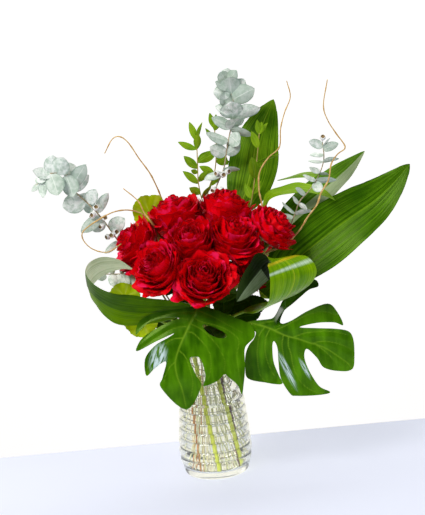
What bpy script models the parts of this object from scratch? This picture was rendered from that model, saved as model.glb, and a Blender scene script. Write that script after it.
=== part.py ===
"""A dozen red roses with eucalyptus, ruscus, willow and tropical leaves, standing in a ribbed glass vase.

Every flower, leaf and twig is a piece of its own. Its stem stands on the floor of the vase,
runs straight up through the neck in one of three rings, and bends to its place above. The rings
share one twist, as in a hand-tied bunch, so no two stems meet. The front of the vase faces -Y,
and the origin is the middle of its foot.
"""

import math
from collections import namedtuple

import bmesh
import bpy
from mathutils import Matrix, Vector

MM = 0.001
GAP = 0.3  # mm between two pieces that touch

# --- the vase, in mm ---
VASE_HEIGHT = 200.0
FLOOR_TOP = 9.0
GLASS_WALL = 3.5
FOOT_RADIUS = 46.0
LIP_RADIUS = 40.0
BODY = ((8, 52), (35, 55), (60, 54), (110, 49.5), (140, 44.5), (165, 39.5), (185, 37))  # height, radius
RIB_COUNT = 11
RIBS_FROM, RIBS_TO = 14.0, 176.0
RIB_HIGH, RIB_LOW = 1.2, -1.0  # crest and groove, from the body's radius
VASE_SIDES = 24

# --- how the stems stand in the vase ---
NECK_HEIGHT = 185.0
TWIST = 50.0  # degrees from the neck down to the floor
OUTER, MIDDLE, INNER = 0, 1, 2
NECK_RINGS = (29.0, 20.5, 12.5)
FLOOR_RINGS = (37.0, 27.0, 16.5)
STRAIGHT_ABOVE_NECK = 16.0

# --- roses ---
BLOOM_PROFILE = (  # radius and height of each ring, in bloom radii
    (0.16, 0.0), (0.52, 0.14), (0.84, 0.42), (1.0, 0.76), (0.96, 1.04), (0.66, 1.26),
)
BLOOM_TOP = 1.32  # height of the middle of the top, as the heights above in bloom radii
BLOOM_CENTRE = 0.72
BLOOM_SIDES = 12
STEM_SIDES = 6
ROSE_STEM = 2.7  # radius, mm
Rose = namedtuple("Rose", "name centre faces radius ring angle")
ROSES = (
    Rose("rose_01", (4, -85, 322), (0.05, -0.80, 0.60), 37, OUTER, -76),
    Rose("rose_02", (-63, -62, 338), (-0.50, -0.66, 0.56), 34, OUTER, -134),
    Rose("rose_03", (-12, -42, 366), (-0.12, -0.62, 0.78), 29, MIDDLE, -96),
    Rose("rose_04", (52, -36, 370), (0.30, -0.55, 0.78), 30, MIDDLE, -48),
    Rose("rose_05", (116, -4, 373), (0.72, -0.20, 0.67), 31, OUTER, 0),
    Rose("rose_06", (44, 16, 405), (0.20, -0.10, 0.97), 34, INNER, -10),
    Rose("rose_07", (-33, 16, 402), (-0.26, -0.10, 0.96), 34, MIDDLE, 172),
    Rose("rose_08", (-99, 6, 362), (-0.80, -0.22, 0.56), 34, OUTER, -176),
    Rose("rose_09", (76, -23, 311), (0.62, -0.55, 0.56), 21, OUTER, -14),
    Rose("rose_10", (-66, 80, 352), (-0.50, 0.66, 0.56), 36, OUTER, 128),
    Rose("rose_11", (-7, 109, 392), (0.0, 0.50, 0.86), 26, OUTER, 84),
    Rose("rose_12", (86, 98, 348), (0.55, 0.66, 0.51), 36, OUTER, 46),
)
ROSE_LEAVES = {  # at, heading, lean, roll, length, width: as the leaves of the sprigs below
    "rose_01": ((0.78, 100, 10, 0, 52, 30), (0.78, -100, 4, 0, 46, 26), (0.84, -78, 22, 10, 50, 26),
                (0.86, 70, -20, 10, 52, 30), (0.44, 140, 60, -50, 50, 32)),
    "rose_02": ((0.80, -150, 25, 10, 30, 22), (0.72, 95, 30, 20, 34, 20)),
    "rose_03": ((0.66, 60, 20, 0, 44, 30), (0.66, -70, 20, 0, 44, 30)),
    "rose_04": ((0.70, 112, 50, 0, 40, 28), (0.76, 150, 40, 0, 40, 26), (0.44, 80, 0, -25, 51, 33),
                (0.60, 180, 20, 0, 51, 33)),
    "rose_05": ((0.40, 80, 0, -25, 51, 33),),
    "rose_08": ((0.48, -140, 20, 25, 51, 33),),
    "rose_09": ((0.44, 80, 20, -25, 51, 33),),
}

# --- long leaves: a round stalk that flattens into a blade ---
BLADE_SIDES = 8
BLADE_RINGS = 26
STALK_RINGS = 5
STALK_RADIUS = 2.2
BLADE_HALF_THICKNESS = 0.6
FLATTENS_OVER = 0.22  # of the blade's length
Blade = namedtuple("Blade", "name ring angle stalk blade across width fold")
BLADES = (
    Blade("aspidistra_tall", MIDDLE, 62,
          ((20, 38, 250), (40, 62, 330)),
          ((62, 78, 382), (77, 82, 415), (90, 85, 452), (98, 87, 484), (111, 88, 516), (131, 87, 555)),
          ((1, -0.2, -0.1), (0.9, -0.3, -0.4)), 78, 0.16),
    Blade("aspidistra_upper", OUTER, 29,
          ((42, 32, 236), (84, 56, 304)),
          ((118, 63, 347), (142, 67, 370), (168, 71, 390), (194, 74, 408), (216, 76, 424), (240, 78, 442),
           (266, 80, 465)),
          ((-0.45, 0.5, 0.6), (-0.5, 0.62, 0.55)), 50, 0.22),
    Blade("aspidistra_broad", OUTER, 14,
          ((42, 11, 214), (66, 16, 238)),
          ((88, 22, 260), (121, 29, 289), (150, 32, 315), (180, 32, 336), (216, 32, 360), (244, 32, 377),
           (270, 33, 393), (298, 34, 416), (326, 34, 444)),
          ((-0.62, 0.36, 0.70), (-0.62, 0.30, 0.72)), 92, 0.16),
    Blade("aspidistra_loop_left", OUTER, -115,
          ((-14, -38, 232), (-12, -49, 256)),
          ((-16, -54, 267), (-34, -56, 269), (-60, -59, 268), (-92, -68, 271), (-126, -77, 281),
           (-152, -73, 298), (-166, -56, 315),
           (-162, -38, 328), (-145, -26, 336), (-120, -20, 335), (-98, -22, 326)),
          ((-0.1, -0.55, 0.8), (0, -0.6, 0.8)), 63, 0.05),
    Blade("aspidistra_loop_right", OUTER, -56,
          ((18, -37, 226), (36, -36, 244)),
          ((58, -33, 252), (79, -35, 256), (99, -44, 261), (116, -54, 270), (128, -63, 285),
           (134, -68, 307),
           (127, -62, 325), (113, -53, 332), (96, -50, 327), (80, -56, 313), (63, -67, 296),
           (48, -76, 278)),
          ((0.4, 0.9, 0.15), (0.6, 0.8, 0.04), (0.74, 0.67, 0.0), (0.74, 0.67, -0.1),
           (0.64, 0.72, -0.2), (0.68, 0.62, -0.2)),
          96, 0.02),
    Blade("arching_leaf_upper", MIDDLE, 34,
          ((34, 28, 270), (98, 44, 320), (140, 55, 340)),
          ((176, 76, 360), (202, 92, 387), (213, 98, 410), (203, 98, 430), (173, 95, 435), (129, 91, 429)),
          ((0.1, 0.9, 0.3), (0.2, 0.9, 0.3)), 26, 0.12),
    Blade("arching_leaf_lower", INNER, 42,
          ((22, 24, 270), (72, 42, 350)),
          ((98, 40, 385), (111, 42, 410), (134, 42, 417), (160, 36, 420), (189, 27, 413), (209, 16, 400)),
          ((-0.2, 0.95, 0.2), (-0.1, 0.8, 0.6)), 28, 0.12),
)

# --- sprigs: a thin stem with leaves along it ---
SPRIG_SIDES = 5
SPRIG_RINGS = 16
LEAF_HALF_THICKNESS = 0.45
POD_STALK, POD_RADIUS = 7.0, 3.6
Leaf = namedtuple("Leaf", "at heading lean roll length width")
# at: share of the stem; heading: degrees from straight up, to the right in a view from the front;
# lean: degrees toward the front; roll: degrees its flat side turns away from the front
Sprig = namedtuple("Sprig", "name ring angle path leaves stem_radius pods")
SPRIGS = (
    Sprig("eucalyptus_left", OUTER, 170,
          ((-48, 10, 250), (-84, 40, 310), (-116, 42, 349), (-131, 25, 379), (-145, 6, 407),
           (-163, -8, 433), (-176, -12, 449), (-182, -16, 470), (-201, -20, 480), (-217, -22, 469),
           (-230, -22, 461)),
          ((0.92, 4, 15, 0, 29, 23), (0.90, 26, 30, 0, 32, 26), (0.92, -74, 20, 20, 30, 17),
           (0.95, -107, 20, 30, 18, 12), (0.98, -134, 10, 30, 18, 9), (0.97, 179, 20, 0, 26, 12),
           (0.93, 162, 30, 0, 36, 26), (0.87, 167, 10, 0, 33, 25), (0.82, 37, 15, 15, 40, 21),
           (0.80, 45, -10, 20, 31, 16), (0.75, -100, 20, 0, 34, 28), (0.73, 32, 20, 0, 27, 19),
           (0.68, 34, 20, 20, 38, 15), (0.66, -124, 25, 10, 38, 18), (0.64, -137, 10, 0, 22, 20),
           (0.59, 58, 20, 0, 31, 22), (0.52, -125, 20, 30, 29, 12), (0.53, 61, -30, 50, 26, 12),
           (0.88, 60, -40, 0, 26, 24), (0.90, -150, -35, 0, 26, 22), (0.78, 150, -35, 0, 26, 22),
           (0.70, -60, -40, 0, 24, 18)),
          1.7,
          ((0.69, 20, 55), (0.68, -100, 60), (0.67, -90, 35), (0.65, 70, 60), (0.62, -110, 55),
           (0.57, 75, 55), (0.555, -60, 75), (0.56, -105, 40))),
    Sprig("eucalyptus_top", INNER, 100,
          ((0, 36, 300), (18, 50, 380), (29, 54, 424), (41, 58, 442), (48, 60, 464), (52, 58, 482),
           (60, 54, 513), (67, 50, 531), (68, 46, 558), (63, 42, 580), (57, 40, 592)),
          ((0.99, -28, 25, 10, 18, 17), (0.99, 12, 10, 0, 20, 19), (0.98, 38, 30, -20, 28, 17),
           (0.965, -61, 24, 30, 24, 15), (0.95, -88, 20, 10, 27, 23), (0.94, -4, 35, 0, 31, 31),
           (0.93, 37, 10, 0, 32, 25), (0.92, 66, 20, 10, 38, 28), (0.91, -56, 30, 0, 26, 22),
           (0.91, -129, 50, 0, 18, 20), (0.88, -73, 15, 30, 30, 18), (0.85, -3, 40, 0, 34, 34),
           (0.86, 76, 15, 20, 42, 23), (0.82, -59, 10, 35, 33, 20), (0.81, 35, 30, 30, 24, 26),
           (0.81, 107, 10, 40, 34, 18), (0.79, 138, 35, 10, 24, 23), (0.77, -66, 20, 45, 38, 18),
           (0.72, -60, 15, 0, 28, 20), (0.72, 60, 20, 0, 27, 16), (0.65, -105, 20, 50, 30, 16),
           (0.66, 88, 20, 55, 27, 14), (0.58, 113, -8, 30, 33, 15), (0.95, 30, -40, 0, 26, 26),
           (0.90, -30, -45, 0, 28, 26), (0.84, 60, -40, 0, 28, 24), (0.77, 120, -40, 0, 26, 22)),
          1.7,
          ((0.655, -95, 40), (0.64, 60, 70), (0.655, 85, 45), (0.60, -130, 50), (0.595, 115, 45))),
    Sprig("eucalyptus_right", MIDDLE, 4,
          ((44, 14, 250), (88, 26, 322), (116, 28, 343), (136, 27, 361), (147, 19, 384), (154, 10, 403),
           (165, 7, 413), (178, 8, 430), (187, 10, 443), (192, 11, 452), (195, 12, 468), (194, 12, 489)),
          ((0.98, -62, 15, 0, 24, 13), (0.97, 70, 20, 0, 25, 13), (0.98, 42, 10, 60, 17, 9),
           (0.95, -88, 10, 65, 21, 11), (0.92, 81, 15, 50, 24, 12), (0.92, -83, 0, 65, 22, 10),
           (0.88, -66, 20, 50, 19, 12), (0.87, 100, 10, 50, 14, 10), (0.84, -64, 20, 50, 23, 12),
           (0.84, 92, 10, 40, 30, 13), (0.83, 150, 50, 0, 22, 15), (0.77, -53, 20, 50, 20, 11),
           (0.72, -38, 20, 45, 16, 9), (0.72, 125, 20, 40, 15, 9), (0.67, -43, -10, 60, 26, 10),
           (0.67, 81, 20, 50, 28, 11), (0.65, -70, -25, 45, 18, 10)),
          1.3, ((1.0, 0, 50),)),
    Sprig("eucalyptus_low", OUTER, -154,
          ((-36, -20, 240), (-60, -14, 290), (-92, 2, 314), (-124, 6, 316), (-148, 4, 318)),
          ((0.98, -120, 20, 0, 14, 13), (0.94, 170, 25, 0, 20, 14), (0.89, -165, 20, 20, 20, 15),
           (0.86, 160, 30, 0, 22, 16), (0.82, 178, 10, 0, 24, 14), (0.77, -175, 25, 0, 21, 13),
           (0.93, 10, 20, 40, 12, 9), (0.86, 0, 10, 40, 12, 9), (0.68, 175, 25, 0, 24, 14)),
          1.4, ((0.70, 110, 60),)),
    Sprig("ruscus_left", MIDDLE, 118,
          ((-12, 36, 280), (0, 60, 360), (12, 62, 400), (6, 60, 425), (6, 58, 452), (7, 56, 475),
           (8, 52, 506)),
          ((0.99, -16, 15, 0, 30, 11), (0.99, 21, 10, 40, 28, 9), (0.95, 8, 30, 0, 27, 12),
           (0.95, -63, 15, 20, 30, 11), (0.86, -42, 15, 10, 28, 13), (0.79, -46, 15, 10, 30, 12),
           (0.84, -59, 40, 0, 14, 8), (0.74, -54, 20, 0, 20, 13), (0.90, 60, -30, 0, 24, 10),
           (0.80, 50, -30, 20, 24, 11), (0.72, 40, 10, 40, 24, 11)),
          1.3, ()),
    Sprig("ruscus_middle", INNER, 150,
          ((-8, 26, 290), (2, 62, 360), (20, 104, 420), (31, 107, 445), (36, 107, 470), (38, 106, 500),
           (36, 105, 524)),
          ((0.98, -12, 10, 0, 24, 10), (0.97, 9, 25, 0, 27, 10), (0.97, 34, 0, 40, 18, 9),
           (0.88, -115, 0, 0, 32, 17), (0.87, 135, -10, 0, 24, 16), (0.92, -32, 15, 20, 27, 9),
           (0.91, 61, -20, 20, 18, 9), (0.79, -61, 10, 0, 24, 12), (0.73, 50, -20, 10, 28, 11),
           (0.84, 100, -30, 0, 24, 12)),
          1.3, ()),
    Sprig("ruscus_right", MIDDLE, 92,
          ((10, 40, 280), (50, 54, 360), (80, 53, 394), (90, 50, 431), (96, 47, 462), (100, 44, 487),
           (104, 44, 513)),
          ((0.98, -5, 20, 10, 22, 10), (0.98, 16, 10, 0, 18, 10), (0.92, -17, 20, 0, 28, 12),
           (0.79, -6, 35, 0, 40, 17), (0.98, 41, 0, 20, 20, 7), (0.86, 75, 10, 50, 34, 9),
           (0.81, 50, 0, 50, 24, 9), (0.70, -20, -20, 0, 24, 12), (0.72, 40, -20, 0, 24, 11)),
          1.3, ()),
)

# --- willow twigs ---
TWIG_SIDES = 5
TWIG_RINGS = 20
Twig = namedtuple("Twig", "name ring angle path radius")
TWIG_TIP = 0.9
TWIGS = (
    Twig("willow_arch", INNER, 200,
         ((-14, 14, 280), (-10, 34, 335), (-46, 66, 400), (-58, 58, 436), (-67, 50, 460), (-81, 44, 484),
          (-94, 40, 508), (-106, 37, 519), (-118, 35, 516), (-131, 34, 496)), 1.9),
    Twig("willow_hook", MIDDLE, 204,
         ((-32, 2, 260), (-54, 14, 340), (-67, 10, 389), (-90, 2, 409), (-116, -16, 414),
          (-142, -34, 406), (-168, -36, 388),
          (-160, -30, 366), (-136, -28, 356), (-114, -24, 366)), 1.5),
    Twig("willow_upright", INNER, 78,
         ((14, 30, 290), (58, 44, 350), (96, 25, 388), (96, 27, 424), (99, 31, 450), (114, 38, 470),
          (132, 44, 484), (136, 46, 512), (144, 48, 536), (154, 50, 558), (150, 50, 582)), 2.0),
    Twig("willow_tall", MIDDLE, -18,
         ((50, 8, 280), (96, 14, 326), (124, 18, 336), (150, 12, 358), (164, -2, 381), (178, -12, 400),
          (185, -12, 417), (197, -12, 435), (203, -8, 458), (214, -2, 471), (226, 2, 480), (214, 6, 501),
          (203, 6, 521), (198, 6, 543), (206, 6, 580)), 1.9),
    Twig("willow_fine", MIDDLE, -118,
         ((-26, -12, 270), (-50, -8, 330), (-66, 0, 385), (-78, 4, 406), (-86, 8, 424), (-106, 8, 444)),
         1.4),
)

# --- flat leaves with an outline of their own; each hangs in a plane and bends out of it ---
SHEET_THICKNESS = 1.0
SHEET_STEP = 30.0  # spacing of the cuts that let a sheet bend
PETIOLE_RADIUS = 2.0
SheetLeaf = namedtuple("SheetLeaf", "name ring angle petiole grip")
MONSTERA_LEFT = SheetLeaf("monstera_left", OUTER, -97, ((-4, -34, 222), (-6, -48, 252)), (-8, 265))
MONSTERA_LEFT_OUTLINE = (  # x, z; lobes in turn from the stalk, down the right side and up the left
    (-7, 273), (10, 269), (40, 255), (63, 243), (70, 233), (69, 223), (55, 211), (53, 193), (52, 178),
    (49, 160),
    (45, 143), (40, 158), (28, 171), (22, 176), (10, 167), (-9, 162), (-5, 176), (-9, 198), (-15, 205),
    (-26, 202),
    (-19, 180), (-13, 161), (-37, 128), (-70, 163), (-67, 178), (-60, 201), (-77, 192), (-90, 182),
    (-90, 206),
    (-74, 224), (-54, 234), (-46, 239), (-73, 229), (-101, 217), (-97, 229), (-87, 238), (-72, 246),
    (-50, 255),
    (-35, 259), (-55, 261), (-77, 257), (-90, 249), (-101, 240), (-96, 256), (-79, 266), (-54, 270),
    (-27, 272),
)
MONSTERA_LEFT_HOLE = ((-4, 247), (8, 245), (26, 235), (29, 228), (17, 228), (3, 236))
MONSTERA_RIGHT = SheetLeaf("monstera_right", OUTER, -38, ((30, -28, 216), (46, -48, 232)), (68, 241))
MONSTERA_RIGHT_OUTLINE = (  # x, z; lobes in turn from the stalk, over the top and back along the bottom
    (55, 240), (64, 245), (81, 246), (97, 247), (110, 254), (121, 263), (131, 272), (143, 280),
    (156, 286), (170, 286), (173, 276),
    (159, 272), (145, 262), (129, 250), (109, 238), (124, 241), (150, 254), (179, 262), (192, 249),
    (200, 228),
    (187, 233), (162, 235), (136, 231),
    (161, 227), (190, 223), (208, 217), (214, 203), (214, 179), (210, 160), (191, 159), (168, 167),
    (159, 182),
    (146, 197), (141, 193), (141, 180), (148, 160), (160, 139), (175, 129), (161, 126), (126, 128),
    (116, 132),
    (104, 156), (102, 182), (102, 202), (98, 213), (95, 207), (95, 183), (101, 162), (105, 148),
    (80, 152), (56, 160),
    (53, 176), (55, 196), (61, 210), (69, 219), (72, 229), (63, 234),
)
LimeLeaf = namedtuple("LimeLeaf", "name ring angle petiole grip centre right up radius")
LIME_LEAVES = (
    LimeLeaf("lime_leaf_upper", MIDDLE, 146, ((-22, 20, 260), (-52, 44, 345), (-60, 48, 362)), (0, -20),
             (-72, 50, 398), (0.9, 0.35, 0.1), (-0.2, 0.3, 0.93), 29),
    LimeLeaf("lime_leaf_middle", MIDDLE, -172, ((-36, -14, 230), (-64, -20, 258), (-84, -22, 274)), (0, -16),
             (-116, -26, 288), (0.3, -0.25, 0.9), (-0.93, 0.0, 0.3), 24),
    LimeLeaf("lime_leaf_lower", OUTER, -165, ((-30, -10, 214), (-44, -18, 230), (-58, -28, 242)), (0, -22),
             (-93, -35, 252), (0.1, 0.25, 0.96), (-0.98, 0.1, 0.05), 26),
)
LIME_SCALLOPS = 7

def polar(radius, degrees, height):
    angle = math.radians(degrees)
    return Vector((radius * math.cos(angle), radius * math.sin(angle), height))


def lerp(a, b, t):
    return a + (b - a) * t


def read_off(table, x):
    """The value at x of a table of (x, value) rows, on straight lines between them."""
    for (x0, y0), (x1, y1) in zip(table, table[1:]):
        if x <= x1:
            return lerp(y0, y1, max(0.0, (x - x0) / (x1 - x0)))
    return table[-1][1]


def along(vectors, share):
    """The vector at a share, from 0 to 1, of the way through a list of vectors."""
    place = share * (len(vectors) - 1)
    k = min(int(place), len(vectors) - 2)
    return Vector(vectors[k]).lerp(Vector(vectors[k + 1]), place - k)


def smooth_path(points, count):
    """Evenly spaced points on a Catmull-Rom curve through the given ones."""
    points = [Vector(p) for p in points]
    padded = [2 * points[0] - points[1], *points, 2 * points[-1] - points[-2]]
    fine = []
    for a, b, c, d in zip(padded, padded[1:], padded[2:], padded[3:]):
        for step in range(12):
            t = step / 12
            fine.append(0.5 * (2 * b + (c - a) * t + (2 * a - 5 * b + 4 * c - d) * t**2
                               + (3 * b - a - 3 * c + d) * t**3))
    fine.append(points[-1])
    lengths = [0.0]
    for p, q in zip(fine, fine[1:]):
        lengths.append(lengths[-1] + (q - p).length)
    out, k = [], 0
    for i in range(count):
        target = lengths[-1] * i / (count - 1)
        while k < len(fine) - 2 and lengths[k + 1] < target:
            k += 1
        span = lengths[k + 1] - lengths[k]
        out.append(fine[k].lerp(fine[k + 1], (target - lengths[k]) / span))
    return out


def tangents(path):
    ahead = path[1:] + [2 * path[-1] - path[-2]]
    behind = [2 * path[0] - path[1]] + path[:-1]
    return [(q - p).normalized() for p, q in zip(behind, ahead)]


def in_vase(ring, angle, radius):
    """Where a stem stands and where it runs out of the neck: foot, neck,
    and a point straight on above it."""
    foot = polar(FLOOR_RINGS[ring], angle + TWIST, FLOOR_TOP)
    neck = polar(NECK_RINGS[ring], angle, NECK_HEIGHT)
    way = (neck - foot).normalized()
    foot.z += GAP + radius * math.hypot(way.x, way.y)
    return [foot, neck, neck + way * STRAIGHT_ABOVE_NECK]


def new_object(name, mesh, material):
    mesh.materials.append(material)
    obj = bpy.data.objects.new(name, mesh)
    bpy.context.scene.collection.objects.link(obj)
    mesh.shade_smooth()
    mesh.set_sharp_from_angle(angle=math.radians(40))
    return obj


def loft(rings, tip=None):
    """A closed bmesh through rings of points in mm, capped at both ends,
    or drawn to a point at the far one."""
    bm = bmesh.new()
    loops = [[bm.verts.new(p * MM) for p in ring] for ring in rings]
    for low, high in zip(loops, loops[1:]):
        for i, (a, b) in enumerate(zip(low, low[1:] + low[:1])):
            bm.faces.new((a, b, high[(i + 1) % len(high)], high[i]))
    bm.faces.new(reversed(loops[0]))
    if tip is None:
        bm.faces.new(loops[-1])
    else:
        point = bm.verts.new(tip * MM)
        for a, b in zip(loops[-1], loops[-1][1:] + loops[-1][:1]):
            bm.faces.new((a, b, point))
    bmesh.ops.recalc_face_normals(bm, faces=bm.faces)
    return bm


def finished(name, bm, material):
    mesh = bpy.data.meshes.new(name)
    bm.to_mesh(mesh)
    bm.free()
    return new_object(name, mesh, material)


def tube_rings(path, radii, sides):
    """Rings of points round a path, turned along it without twisting."""
    ways = tangents(path)
    side = ways[0].orthogonal().normalized()
    rings = []
    for point, way, radius in zip(path, ways, radii):
        side = (side - way * side.dot(way)).normalized()
        other = way.cross(side)
        rings.append([point + (side * math.cos(a) + other * math.sin(a)) * radius
                      for a in (2 * math.pi * i / sides for i in range(sides))])
    return rings


def material(name, colour, roughness, metallic=0.0, transmission=0.0):
    made = bpy.data.materials.new(name)
    made.use_nodes = True
    shader = made.node_tree.nodes["Principled BSDF"]
    shader.inputs["Base Color"].default_value = (*colour, 1.0)
    shader.inputs["Roughness"].default_value = roughness
    shader.inputs["Metallic"].default_value = metallic
    shader.inputs["Transmission Weight"].default_value = transmission
    return made


def body_radius(height):
    """The vase's outer radius without its ribs."""
    return read_off(BODY, height)


def vase(glass):
    """A turned beehive vase: ribs up the outside, one smooth wall inside, a thick floor and an open lip."""
    outer = [(0.0, 0.0), (FOOT_RADIUS, 0.0), (FOOT_RADIUS + 3, 2.0), (body_radius(8) - 1, 8.0)]
    pitch = (RIBS_TO - RIBS_FROM) / RIB_COUNT
    for rib in range(RIB_COUNT):
        low = RIBS_FROM + rib * pitch
        outer.append((body_radius(low) + RIB_LOW, low))
        outer.append((body_radius(low + pitch / 2) + RIB_HIGH, low + pitch / 2))
    outer += [(body_radius(RIBS_TO) + RIB_LOW, RIBS_TO), (36.5, 188.0), (LIP_RADIUS, 197.0),
              (LIP_RADIUS - 1, VASE_HEIGHT), (LIP_RADIUS - 3, VASE_HEIGHT - 0.6)]
    inner = [(body_radius(h) - GLASS_WALL, h) for h in (188, 176, 160, 140, 110, 75, 40, 18)]
    inner += [(FOOT_RADIUS - 3, FLOOR_TOP + 1), (FOOT_RADIUS - 5, FLOOR_TOP), (0.0, FLOOR_TOP)]
    profile = outer + inner
    bm = bmesh.new()
    line = [bm.verts.new((radius * MM, 0.0, height * MM)) for radius, height in profile]
    for a, b in zip(line, line[1:]):
        bm.edges.new((a, b))
    bmesh.ops.spin(bm, geom=bm.verts[:] + bm.edges[:], axis=(0, 0, 1), cent=(0, 0, 0),
                   angle=2 * math.pi, steps=VASE_SIDES, use_merge=True)
    bmesh.ops.remove_doubles(bm, verts=bm.verts, dist=1e-6)
    bmesh.ops.recalc_face_normals(bm, faces=bm.faces)
    finished("vase", bm, glass)


def rose(spec, petal, green):
    """One bloom, a closed cup, and the stem that carries it on a small flared receptacle."""
    way = Vector(spec.faces).normalized()
    base = Vector(spec.centre) - way * spec.radius * BLOOM_CENTRE
    side = way.orthogonal().normalized()
    other = way.cross(side)
    rings = []
    for share, height in BLOOM_PROFILE:
        middle = base + way * height * spec.radius
        rings.append([middle + (side * math.cos(a) + other * math.sin(a)) * share * spec.radius
                      for a in (2 * math.pi * i / BLOOM_SIDES for i in range(BLOOM_SIDES))])
    finished(spec.name + "_bloom", loft(rings, base + way * BLOOM_TOP * spec.radius), petal)

    top = base - way * GAP
    foot, neck, above = in_vase(spec.ring, spec.angle, ROSE_STEM)
    path = [foot, *smooth_path([neck, above, top - way * 28, top - way * 9], 7), top]
    radii = [ROSE_STEM] * (len(path) - 2) + [ROSE_STEM * 1.2, ROSE_STEM * 2.0]
    stem = finished(spec.name + "_stem", loft(tube_rings(path, radii, STEM_SIDES)), green)
    if spec.name in ROSE_LEAVES:
        joined(stem, [leaf_on(path, Leaf(*row)) for row in ROSE_LEAVES[spec.name]], green)


def blade_shape(share):
    """A long leaf's half-width along it, from 0 at the stalk to 1 at the widest place and 0 at the tip."""
    return math.sin(math.pi * share**0.82) ** 0.72


def blade(spec, green):
    """A long leaf in one piece: a round stalk from the vase that widens into a folded blade."""
    foot, neck, above = in_vase(spec.ring, spec.angle, STALK_RADIUS)
    through = [neck, above, *map(Vector, spec.stalk), *map(Vector, spec.blade)]
    fine = smooth_path(through, 200)
    starts = min(range(200), key=lambda i: (fine[i] - Vector(spec.blade[0])).length)
    stalk = [fine[round(starts * i / STALK_RINGS)] for i in range(STALK_RINGS)]
    leaf = [fine[round(lerp(starts, 199, i / BLADE_RINGS))] for i in range(BLADE_RINGS + 1)]
    path = [foot, *stalk, *leaf]
    shares = [0.0] * (len(path) - len(leaf)) + [i / BLADE_RINGS for i in range(BLADE_RINGS + 1)]
    rings = []
    for point, way, share in list(zip(path, tangents(path), shares))[:-1]:
        across = along(spec.across, share)
        across = (across - way * across.dot(way)).normalized()
        normal = across.cross(way)
        flat = min(1.0, share / FLATTENS_OVER)
        half_width = max(STALK_RADIUS * (1 - share), blade_shape(share) * spec.width / 2)
        half_height = lerp(STALK_RADIUS, BLADE_HALF_THICKNESS, flat)
        ring = []
        for i in range(BLADE_SIDES):
            a = 2 * math.pi * i / BLADE_SIDES
            x, y = half_width * math.cos(a), half_height * math.sin(a)
            ring.append(point + across * x + normal * (y - spec.fold * abs(x) * flat))
        rings.append(ring)
    finished(spec.name, loft(rings, path[-1]), green)


def leaf_plate(base, way, across, length, width):
    """A small closed leaf, a lozenge in outline, with its base sunk in the stem."""
    normal = way.cross(across).normalized()
    outline = ((0.0, 0.12), (0.5, 0.5), (1.0, 0.06))
    rim = [base + way * length * x + across * width * y for x, y in outline]
    rim += [base + way * length * x - across * width * y for x, y in reversed(outline)]
    rings = [[p + normal * side * LEAF_HALF_THICKNESS for p in rim] for side in (-1, 1)]
    return loft(rings)


def pointing(heading, lean):
    """A direction: degrees from straight up toward +X, and degrees out toward the front."""
    turn, out = math.radians(heading), math.radians(lean)
    return Vector((math.sin(turn) * math.cos(out), -math.sin(out), math.cos(turn) * math.cos(out)))


def leaf_on(path, leaf):
    """The closed leaf that a row of the tables puts on a stem."""
    way = pointing(leaf.heading, leaf.lean)
    across = way.cross(Vector((0, -1, 0))).normalized()
    across = Matrix.Rotation(math.radians(leaf.roll), 3, way) @ across
    return leaf_plate(along(path, leaf.at), way, across, leaf.length, leaf.width)


def seed_pod(base, way):
    """A short stalk that opens into a blunt cup."""
    profile = ((0.0, 0.7), (POD_STALK, 0.7), (POD_STALK + 3.0, POD_RADIUS),
               (POD_STALK + 7.5, POD_RADIUS * 0.8))
    path = [base + way * along for along, _ in profile]
    return loft(tube_rings(path, [radius for _, radius in profile], SPRIG_SIDES))


def joined(obj, bodies, leaf_material):
    """Unites an object with closed bodies that it grows together with."""
    together = bmesh.new()
    for body in bodies:
        mesh = bpy.data.meshes.new("body")
        body.to_mesh(mesh)
        body.free()
        together.from_mesh(mesh)
        bpy.data.meshes.remove(mesh)
    cutter = finished(obj.name + "_grown", together, leaf_material)
    join = obj.modifiers.new("grown", "BOOLEAN")
    join.operation, join.object, join.use_self = "UNION", cutter, True
    cutter.hide_render = True
    cutter.display_type = "WIRE"


def petiole(spec, grip):
    """The closed stalk of a flat leaf, from the vase's floor to the point where it grips the leaf."""
    foot, neck, above = in_vase(spec.ring, spec.angle, PETIOLE_RADIUS)
    path = [foot, *smooth_path([neck, above, *map(Vector, spec.petiole), grip], 9)]
    return loft(tube_rings(path, [PETIOLE_RADIUS] * 9 + [PETIOLE_RADIUS * 0.7], SPRIG_SIDES))


def sheet_leaf(spec, outlines, place, leaf_material):
    """A thin leaf from flat outlines, cut into a net so that place(x, z) can bend it,
    united with its stalk."""
    bm = bmesh.new()
    for outline in outlines:
        corners = [bm.verts.new((x, z, 0)) for x, z in outline]
        for a, b in zip(corners, corners[1:] + corners[:1]):
            bm.edges.new((a, b))
    bmesh.ops.triangle_fill(bm, edges=bm.edges[:], use_beauty=True, use_dissolve=False, normal=(0, 0, 1))
    for axis in (0, 1):
        values = [v.co[axis] for v in bm.verts]
        cuts = int((max(values) - min(values)) / SHEET_STEP)
        for k in range(1, cuts + 1):
            point, normal = Vector((0, 0, 0)), Vector((0, 0, 0))
            point[axis] = lerp(min(values), max(values), k / (cuts + 1))
            normal[axis] = 1
            bmesh.ops.bisect_plane(bm, geom=bm.verts[:] + bm.edges[:] + bm.faces[:], dist=0.4,
                                   plane_co=point, plane_no=normal)
    bmesh.ops.triangulate(bm, faces=bm.faces[:])
    for vert in bm.verts:
        vert.co = place(vert.co.x, vert.co.y) * MM
    leaf = finished(spec.name, bm, leaf_material)
    thick = leaf.modifiers.new("thick", "SOLIDIFY")
    thick.thickness = SHEET_THICKNESS * MM
    thick.offset = 0
    joined(leaf, [petiole(spec, place(*spec.grip))], leaf_material)


def eased(share):
    share = min(1.0, max(0.0, share))
    return share * share * (3 - 2 * share)


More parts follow.
